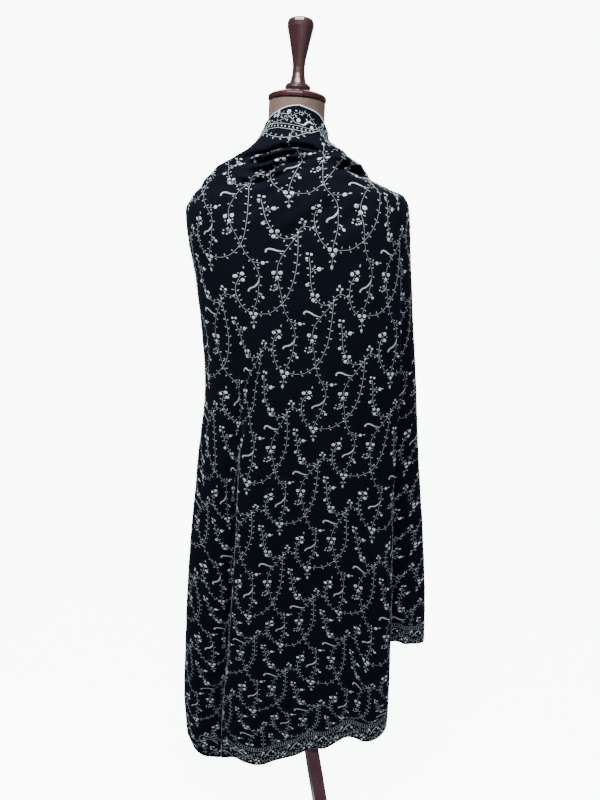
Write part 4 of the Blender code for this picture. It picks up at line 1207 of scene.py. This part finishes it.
# Where the photo shows them, each read from a zoomed crop to about a pixel: the step
# and row of the copy, and the photo's pixel. The script works out from this how far the
# drape has carried the pattern there. One of them, the first sprig top, lies in a steep fold
# and is set 3 pixels higher than it was read.
# Columns: step, row, photo_x, photo_y.
SEEN = {
    "foot": ((0, 0, 289, 194), (-1, 1, 209.5, 257), (0, 1, 333, 251.5), (-1, 2, 253.5, 314.5),
        (0, 2, 362, 317.5), (-2, 3, 208.5, 376.5), (-1, 3, 284.5, 373.5), (0, 3, 390.5, 375.5),
        (-2, 4, 239, 424), (-1, 4, 313, 429), (-3, 5, 202.5, 475.5), (-2, 5, 247, 483),
        (-1, 5, 343.5, 475.5), (-3, 6, 228, 519), (-2, 6, 279.5, 524.5), (-1, 6, 371.5, 529.5),
        (-2, 7, 307, 568.5), (-4, 8, 222, 602), (-3, 8, 248, 617), (-2, 8, 338.5, 612),
        (-3, 9, 280, 645), (-2, 9, 365.5, 661.5), (-5, 10, 212, 665), (-3, 10, 310.5, 682),
        (-4, 11, 252.5, 711), (-3, 11, 341.5, 717.5), (-4, 12, 285.5, 735)),
    "tail_bud": ((-2, 9, 365, 671.5),),
    "low_berry": ((-1, 6, 381.5, 515.5), (-2, 9, 373.5, 652)),
    "bud_berry": ((-1, 1, 215, 207.5), (0, 1, 343.5, 197), (-2, 5, 259, 438.5), (-1, 6, 386, 488.5),
        (-2, 8, 348, 576), (-2, 9, 374.5, 629)),
    "low_horn": ((0, 0, 284.5, 170), (-3, 6, 220.5, 504), (-1, 6, 368.5, 508.5), (-2, 9, 363, 643)),
    "high_horn": ((-1, 2, 221.5, 195), (0, 2, 350, 184), (-2, 9, 354, 568), (-2, 10, 380.5, 620),
        (-3, 12, 353.5, 684.5)),
    "horn_top": ((-2, 5, 246.5, 370), (-2, 6, 265.5, 427), (-3, 7, 231.5, 468.5),
        (-2, 7, 293.5, 472)),
    "cluster": ((-2, 4, 224, 394), (-3, 6, 214, 492), (-2, 6, 269, 497), (-1, 6, 363, 494.5),
        (-2, 9, 357.5, 629.5), (-2, 10, 385, 678.5)),
    "cluster_side": ((0, 0, 279, 162), (0, 1, 316, 210)),
    "floret": ((-1, 6, 365, 456),),
    "upper_triple": ((0, 2, 361, 209.5), (-2, 6, 271, 449), (-1, 6, 370, 446), (-2, 9, 358, 588.5),
        (-2, 10, 387, 638.5), (-3, 12, 357, 704)),
    "upper_berry": ((0, 1, 324, 160), (-2, 4, 217, 341)),
    "small_triple": ((-2, 4, 215, 403.5), (-3, 6, 208.5, 498.5), (-1, 7, 378.5, 558),
        (-2, 10, 372.5, 685.5)),
    "side_triple": ((0, 0, 231, 180.5), (-1, 3, 246.5, 352.5), (-1, 4, 270, 410.5),
        (-2, 5, 232, 454.5), (-3, 7, 225, 547), (-1, 8, 386.5, 606), (-2, 10, 356.5, 675.5)),
    "side_bud": ((-2, 5, 230.5, 435.5), (-3, 7, 221, 531.5), (-1, 8, 388, 590),
        (-2, 10, 358.5, 665.5)),
    "left_bud": ((-2, 5, 224.5, 448.5),),
    "sprig_top": ((0, 0, 238.5, 160), (-2, 5, 221, 428), (-3, 7, 213.5, 520.5), (-1, 8, 380.5, 580),
        (-2, 10, 351, 651), (-2, 11, 375.5, 703.5)),
    "arch_top": ((0, 0, 261.5, 175),),
    "arch_end": ((0, 0, 250.5, 182.5),),
    "arc": ((-2, 8, 351, 614), (-2, 9, 381, 665)),
    "joint": ((0, 0, 324, 183.5), (-3, 5, 214.5, 471), (-1, 5, 371, 471), (-2, 8, 362.5, 610)),
    "arm_1": ((-2, 4, 252, 409),),
    "arm_2": ((-2, 3, 228.5, 337.5), (-2, 4, 254.5, 394.5), (-3, 5, 215, 441.5)),
    "arm_3": ((-1, 1, 248, 202.5),),
    "arm_4": ((-2, 4, 257.5, 372.5), (-3, 7, 252, 526.5), (-3, 11, 369.5, 695.5)),
    "arm_5": ((0, 0, 341, 148),),
    "fall_1": ((0, 0, 298, 167.5),),
    "fall_2": ((0, 0, 301, 161), (0, 1, 337, 201.5)),
    "fall_3": ((0, 0, 299.5, 153),),
    "fall_4": ((-2, 4, 227, 374.5),),
    "fall_5": ((-1, 1, 203, 193),),
}
SEEN_NEAR = 2.0            # cloth within this many pixels is a candidate for a place
SEEN_DEPTH = 0.03          # and counts as the front layer within this distance
SEEN_CELLS = 2             # cells of the cloth's grid that are searched round the nearest
SEEN_PARTS = 8             # each cut into so many parts
PULL_REACH = 95.0          # millimetres over which a known place pulls at the others
PULL_EASE = 0.03
CHART_ALONG = (186.0, 0.0)     # the same two steps in the chart, in millimetres
CHART_DOWN = (53.4, 104.0)
# Where the field begins below the neck edge: it leaves the neck's first fold bare.
FIELD_TOP_COLUMNS = ("across", "down")
FIELD_TOP = (
    (-0.300, 0.044), (-0.160, 0.070), (-0.130, 0.084), (-0.094, 0.084), (-0.060, 0.080),
    (-0.040, 0.073), (-0.003, 0.074), (0.020, 0.080),
    (0.050, 0.080), (0.062, 0.050), (0.300, 0.044),
)
# Radius and tone of the edge stitches along the neck, the ends and the hem.
EDGE_NECK = (0.0012, 0.90)
EDGE_HEM = (0.0007, 0.35)
EDGE_SIDES = 7
EDGE_TWIST = 0.0008        # lean of the stitches round the edge
HEM_BORDER_START = 0.0170
NECK_BORDER_START = 0.0
FIELD_MISS = 0.002         # a place that the search misses by more lies off the cloth
BORDER_MISS = 0.001
HEM_BARE = (-0.300, -0.104)        # this stretch of the hem has the field in place of a border
BARE_EDGE = 0.006


def add_sheet(grid, wool):
    """The cloth itself, with the distances across and down it at every point."""
    calm = sheet_grid(PATTERN_STROKES)
    across = lengths_along(calm, 1)
    middle = int(np.argmin(np.abs(sheet_distances(0.5))))
    across = across - across[:, middle:middle + 1]
    down = lengths_along(calm, 0)
    mesh = mesh_from("pashmina_shawl", grid.reshape(-1, 3), grid_faces(*grid.shape[:2]))
    place = np.stack([across, down, np.zeros_like(down)], axis=2)
    set_attribute(mesh, "cloth_place", place.reshape(-1, 3))
    piece = add_piece("pashmina_shawl", mesh, wool)
    wall = piece.modifiers.new("Thickness", "SOLIDIFY")
    wall.thickness = SHEET
    wall.offset = -1.0
    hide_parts("shawl_neck_wrap", "shawl_back", "shawl_left_side", "shawl_right_side",
                "shawl_front_left", "shawl_front_right")
    return piece, across, down


def rim(table):
    """The values of a grid all round its rim, from the first row on."""
    return np.concatenate([table[0], table[1:, -1], table[-1, -2::-1], table[-2:0:-1, 0]])


def add_edge(grid, out, thread):
    """Pale overcast stitches all round the edge of the cloth."""
    loop = rim(grid - out * SHEET / 2)
    turns = rim(out)
    run = np.roll(loop, -1, axis=0) - np.roll(loop, 1, axis=0)
    run /= np.linalg.norm(run, axis=1)[:, None]
    aside = np.cross(run, turns)
    aside /= np.linalg.norm(aside, axis=1)[:, None]
    gone = lengths_along(loop)
    count = len(loop)
    neck = np.arange(count) < grid.shape[1]
    radius, tone = np.where(neck[:, None], EDGE_NECK, EDGE_HEM).T
    points = []
    place = []
    for k in range(EDGE_SIDES):
        angle = 2 * math.pi * k / EDGE_SIDES
        points.append(loop + radius[:, None] * (math.cos(angle) * turns + math.sin(angle) * aside))
        lean = gone + EDGE_TWIST * k / EDGE_SIDES
        place.append(np.stack([lean, np.full(count, k * MM), tone], axis=1))
    side = np.arange(EDGE_SIDES)
    after = np.roll(side, -1)
    here = np.arange(count)[:, None] * EDGE_SIDES
    ahead = np.roll(here, -1, axis=0)
    quads = np.stack([here + side, here + after, ahead + after, ahead + side], axis=2)
    mesh = mesh_from("shawl_edge_stitches", np.stack(points, axis=1).reshape(-1, 3),
                     quads.reshape(-1, 4))
    set_attribute(mesh, "thread", np.stack(place, axis=1).reshape(-1, 3))
    return add_piece("shawl_edge_stitches", mesh, thread)


def add_stitches(name, points, faces, place, thread):
    """A piece of embroidery, from the points that its faces use."""
    used, fresh = np.unique(faces, return_inverse=True)
    mesh = mesh_from(name, points[used], fresh.reshape(faces.shape))
    set_attribute(mesh, "thread", place[used])
    return add_piece(name, mesh, thread)


def raised(grid, out, rows, columns, heights):
    """World points of thread at rows and columns of the cloth."""
    base = spot_in(grid, rows, columns)
    lift = THREAD_LIFT + THREAD_CROWN * heights
    return base + spot_in(out, rows, columns) * lift[:, None]


def pattern_spot(steps, rows):
    """Distances across and down the cloth of a place counted in steps and rows."""
    return tuple(PATTERN_START[k] + steps * PATTERN_ALONG[k] + rows * PATTERN_DOWN[k]
                 + rows * np.abs(rows) * PATTERN_BEND[k] for k in (0, 1))


def pull(distance):
    """How strongly a known place of the pattern pulls at another."""
    return 1.0 / (1.0 + (distance / PULL_REACH) ** 2) ** 2


def plain_places(steps, rows, x, y):
    """Places of the chart's copies on the cloth before any pull, in millimetres."""
    below = -y / CHART_DOWN[1]
    beside = (x - below * CHART_DOWN[0]) / CHART_ALONG[0]
    u, v = pattern_spot(steps + beside, rows + below)
    width = glide(column(HIDDEN, HIDDEN_COLUMNS, "down"), column(HIDDEN, HIDDEN_COLUMNS, "width"), v)
    u = u + width * ease((-u - HIDDEN_FROM) / (HIDDEN_SPREAD * np.abs(width) + HIDDEN_SOFT))
    return np.stack([u, v], axis=1) / MM


def on_photo(points):
    """Pixels of the photo at which points are seen, and their distance along the view."""
    x, y, z = np.moveaxis(points - np.array(CAMERA_PLACE), -1, 0)
    far = y * math.cos(CAMERA_DOWN) - z * math.sin(CAMERA_DOWN)
    below = -z * math.cos(CAMERA_DOWN) - y * math.sin(CAMERA_DOWN)
    focal = PHOTO_HIGH * CAMERA_LENS / CAMERA_SENSOR
    return np.stack([PHOTO_WIDE / 2 + focal * x / far, PHOTO_HIGH / 2 + focal * below / far, far],
                    axis=-1)


def cloth_under(seen, photo_x, photo_y):
    """Row and column of the cloth's front layer under a pixel of the photo."""
    miss = np.hypot(seen[..., 0] - photo_x, seen[..., 1] - photo_y)
    near = miss < miss.min() + SEEN_NEAR
    front = near & (seen[..., 2] < seen[near, 2].min() + SEEN_DEPTH)
    nearest = np.unravel_index(np.where(front, miss, np.inf).argmin(), miss.shape)
    around = np.linspace(-SEEN_CELLS, SEEN_CELLS, 2 * SEEN_CELLS * SEEN_PARTS + 1)
    rows, columns = [np.clip(place + around, 0, count - 1)
                     for place, count in zip(nearest, miss.shape)]
    rows, columns = np.repeat(rows, len(around)), np.tile(columns, len(around))
    spots = spot_in(seen, rows, columns)
    best = np.hypot(spots[:, 0] - photo_x, spots[:, 1] - photo_y).argmin()
    return rows[best], columns[best]


def known_pulls(grid, across, down):
    """The known places of the pattern and the weights with which they pull, in millimetres."""
    marks = [(*MARKS[name], *spot) for name, spots in SEEN.items() for spot in spots]
    x, y, steps, rows, photo_x, photo_y = np.array(marks, dtype=float).T
    known = plain_places(steps, rows, x, y)
    seen = on_photo(grid)
    at = np.array([cloth_under(seen, *pixel) for pixel in zip(photo_x, photo_y)]).T
    real = np.stack([spot_in(across, *at), spot_in(down, *at)], axis=1) / MM
    apart = np.linalg.norm(known[:, None] - known[None], axis=2)
    weights = np.linalg.solve(pull(apart) + PULL_EASE * np.eye(len(known)), real - known)
    return known, weights


def pulled(places, known, weights):
    """Places of the pattern after the drape has pulled it, in metres across and down."""
    moved = places.copy()
    for spot, weight in zip(known, weights):
        moved += pull(np.hypot(*(places - spot).T))[:, None] * weight
    return moved.T * MM


def add_field(grid, out, across, down, thread):
    """The vine pattern all over the cloth inside its border, in three pieces."""
    widest = np.abs(across).max() + CHART_REACH
    spots = np.array([(step, row) for row in PATTERN_ROWS for step in PATTERN_STEPS
                      if abs(pattern_spot(step, row)[0]) < widest], dtype=float)
    points, copy, faces, threads, owners = repeated(field_chart(), len(spots))
    places = plain_places(*spots[copy].T, points[:, 0], points[:, 1])
    u, v = pulled(places, *known_pulls(grid, across, down))
    rows, columns = place_on(across, down, u, v)
    here_u = spot_in(across, rows, columns)
    here_v = spot_in(down, rows, columns)
    full = np.interp(columns, np.arange(len(down[-1])), down[-1])
    left = np.interp(rows, np.arange(len(across)), across[:, 0])
    right = np.interp(rows, np.arange(len(across)), across[:, -1])
    starts = np.interp(here_u, column(FIELD_TOP, FIELD_TOP_COLUMNS, "across"),
                       column(FIELD_TOP, FIELD_TOP_COLUMNS, "down"))
    bare = (here_u > HEM_BARE[0]) & (here_u < HEM_BARE[1])
    inside = ((np.abs(here_u - u) < FIELD_MISS) & (np.abs(here_v - v) < FIELD_MISS)
              & (here_v > starts) & (full - here_v > np.where(bare, BARE_EDGE, FIELD_FROM_EDGE))
              & (here_u - left > FIELD_FROM_END) & (right - here_u > FIELD_FROM_END))
    faces = faces[kept_faces(faces, owners, inside)]
    where = raised(grid, out, rows, columns, points[:, 2])
    centre = columns[faces].mean(axis=1)
    counts = [count for _, count, _, _ in STRETCHES]
    first = dict(zip([name for name, _, _, _ in STRETCHES], np.cumsum([0] + counts)))
    marks = (0, first["back"], first["right_side"], sum(counts) + 1)
    return [add_stitches("shawl_vines_" + name, where, faces[(centre >= low) & (centre < high)],
                         threads, thread)
            for name, low, high in zip(("left", "back", "right"), marks, marks[1:])]


def add_borders(grid, out, across, down, thread):
    """The leafed borders along the hem and the neck edge, and the lone stitches."""
    pieces = []
    for name, chart, long, start, row in (
            ("hem", border_chart(), BORDER_LONG * MM, HEM_BORDER_START, -1),
            ("neck", neck_chart(), NECK_LONG * MM, NECK_BORDER_START, 0)):
        edge = across[row]
        count = int((edge[-1] - edge[0]) / long) + 4
        starts = start + (math.floor(edge[0] / long) - 1 + np.arange(count)) * long
        points, copy, faces, threads, owners = repeated(chart, count)
        u = starts[copy] + points[:, 0] * MM
        rows, columns = place_on(across, down - down[row], u, -points[:, 1] * MM)
        inside = np.abs(spot_in(across, rows, columns) - u) < BORDER_MISS
        if name == "hem":
            inside &= (u < HEM_BARE[0]) | (u > HEM_BARE[1])
        pieces.append(add_stitches("shawl_border_" + name,
                                   raised(grid, out, rows, columns, points[:, 2]),
                                   faces[kept_faces(faces, owners, inside)], threads, thread))
    points, _, faces, threads, _ = repeated(lone_chart(), 1)
    rows, columns = place_on(across, down, points[:, 0] * MM, -points[:, 1] * MM)
    pieces.append(add_stitches("shawl_lone_stitches", raised(grid, out, rows, columns, points[:, 2]),
                               faces, threads, thread))
    return pieces


def add_light(name, place, aim, power, size, colour):
    """A soft lamp that points at its aim."""
    data = bpy.data.lights.new(name, "AREA")
    data.energy = power
    data.shape = "RECTANGLE"
    data.size, data.size_y = size
    data.color = colour
    light = bpy.data.objects.new(name, data)
    light.location = place
    light.rotation_euler = direction_turn([b - a for a, b in zip(place, aim)])
    bpy.context.scene.collection.objects.link(light)


def direction_turn(way):
    """Rotation that points a light's -Z axis along a direction."""
    x, y, z = way
    flat = math.hypot(x, y)
    return (math.atan2(flat, -z), 0.0, math.atan2(y, x) - math.pi / 2)


def add_stage():
    """Pale floor that sweeps up behind the object."""
    profile = [(-STAGE_HALF, 0.0), (STAGE_BEND, 0.0)]
    for step in range(1, STAGE_STEPS + 1):
        angle = math.pi / 2 * step / STAGE_STEPS
        profile.append((STAGE_BEND + STAGE_RADIUS * math.sin(angle),
                        STAGE_RADIUS * (1 - math.cos(angle))))
    profile.append((STAGE_BEND + STAGE_RADIUS, STAGE_HALF))
    points = [(x, y, z) for y, z in profile for x in (-STAGE_HALF, STAGE_HALF)]
    faces = [(2 * k, 2 * k + 1, 2 * k + 3, 2 * k + 2) for k in range(len(profile) - 1)]
    mesh = bpy.data.meshes.new("studio_floor")
    mesh.from_pydata(points, [], faces)
    mesh.shade_smooth()
    floor = bpy.data.objects.new("studio_floor", mesh)
    bpy.context.scene.collection.objects.link(floor)
    mesh.materials.append(floor_material())


def add_camera():
    """The photo's camera, as it was fitted."""
    data = bpy.data.cameras.new("photo_view")
    data.lens = CAMERA_LENS
    data.sensor_width = CAMERA_SENSOR
    data.sensor_fit = "AUTO"
    camera = bpy.data.objects.new("photo_view", data)
    camera.location = CAMERA_PLACE
    camera.rotation_euler = (math.pi / 2 - CAMERA_DOWN, 0.0, 0.0)
    bpy.context.scene.collection.objects.link(camera)
    bpy.context.scene.camera = camera


def set_world():
    """Soft white surroundings, brighter where the camera looks at them."""
    world = bpy.data.worlds.new("soft_white")
    world.use_nodes = True
    bpy.context.scene.world = world
    back = world.node_tree.nodes["Background"]
    back.inputs["Color"].default_value = (0.94, 0.97, 1.0, 1.0)
    seen = world.node_tree.nodes.new("ShaderNodeLightPath")
    strength = world.node_tree.nodes.new("ShaderNodeMapRange")
    strength.inputs["To Min"].default_value = WORLD_STRENGTH
    strength.inputs["To Max"].default_value = FLOOR_GLOW
    world.node_tree.links.new(seen.outputs["Is Camera Ray"], strength.inputs["Value"])
    world.node_tree.links.new(strength.outputs["Result"], back.inputs["Strength"])


def dress_nodes():
    """Materials of the form and its stand."""
    linen = linen_material()
    wood = mahogany_material("mahogany_polished", 0.8, 0.5, WOOD_DARK, WOOD_LIGHT)
    dull = mahogany_material("mahogany_dull", 0.05, 0.15, WOOD_DARK, WOOD_LIGHT)
    stand = mahogany_material("mahogany_stand", 0.3, 0.15, STAND_DARK, STAND_LIGHT)
    for name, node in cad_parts.items():
        if name.startswith("form_"):
            node.material_slots[0].material = linen
        elif name == "neck_cap":
            node.material_slots[0].material = dull
        elif name.startswith("stand_"):
            node.material_slots[0].material = stand
        elif not name.startswith("shawl_"):
            node.material_slots[0].material = wood


def main():
    """Build the cloth, its embroidery and the studio."""
    grid = sheet_grid()
    out = outward_of(grid)
    wool = wool_material()
    thread = thread_material()
    sheet, across, down = add_sheet(grid, wool)
    extras = [add_edge(grid, out, thread)]
    extras += add_field(grid, out, across, down, thread)
    extras += add_borders(grid, out, across, down, thread)
    dress_nodes()
    add_stage()
    set_world()
    for light in LIGHTS:
        add_light(*light)
    add_camera()


main()
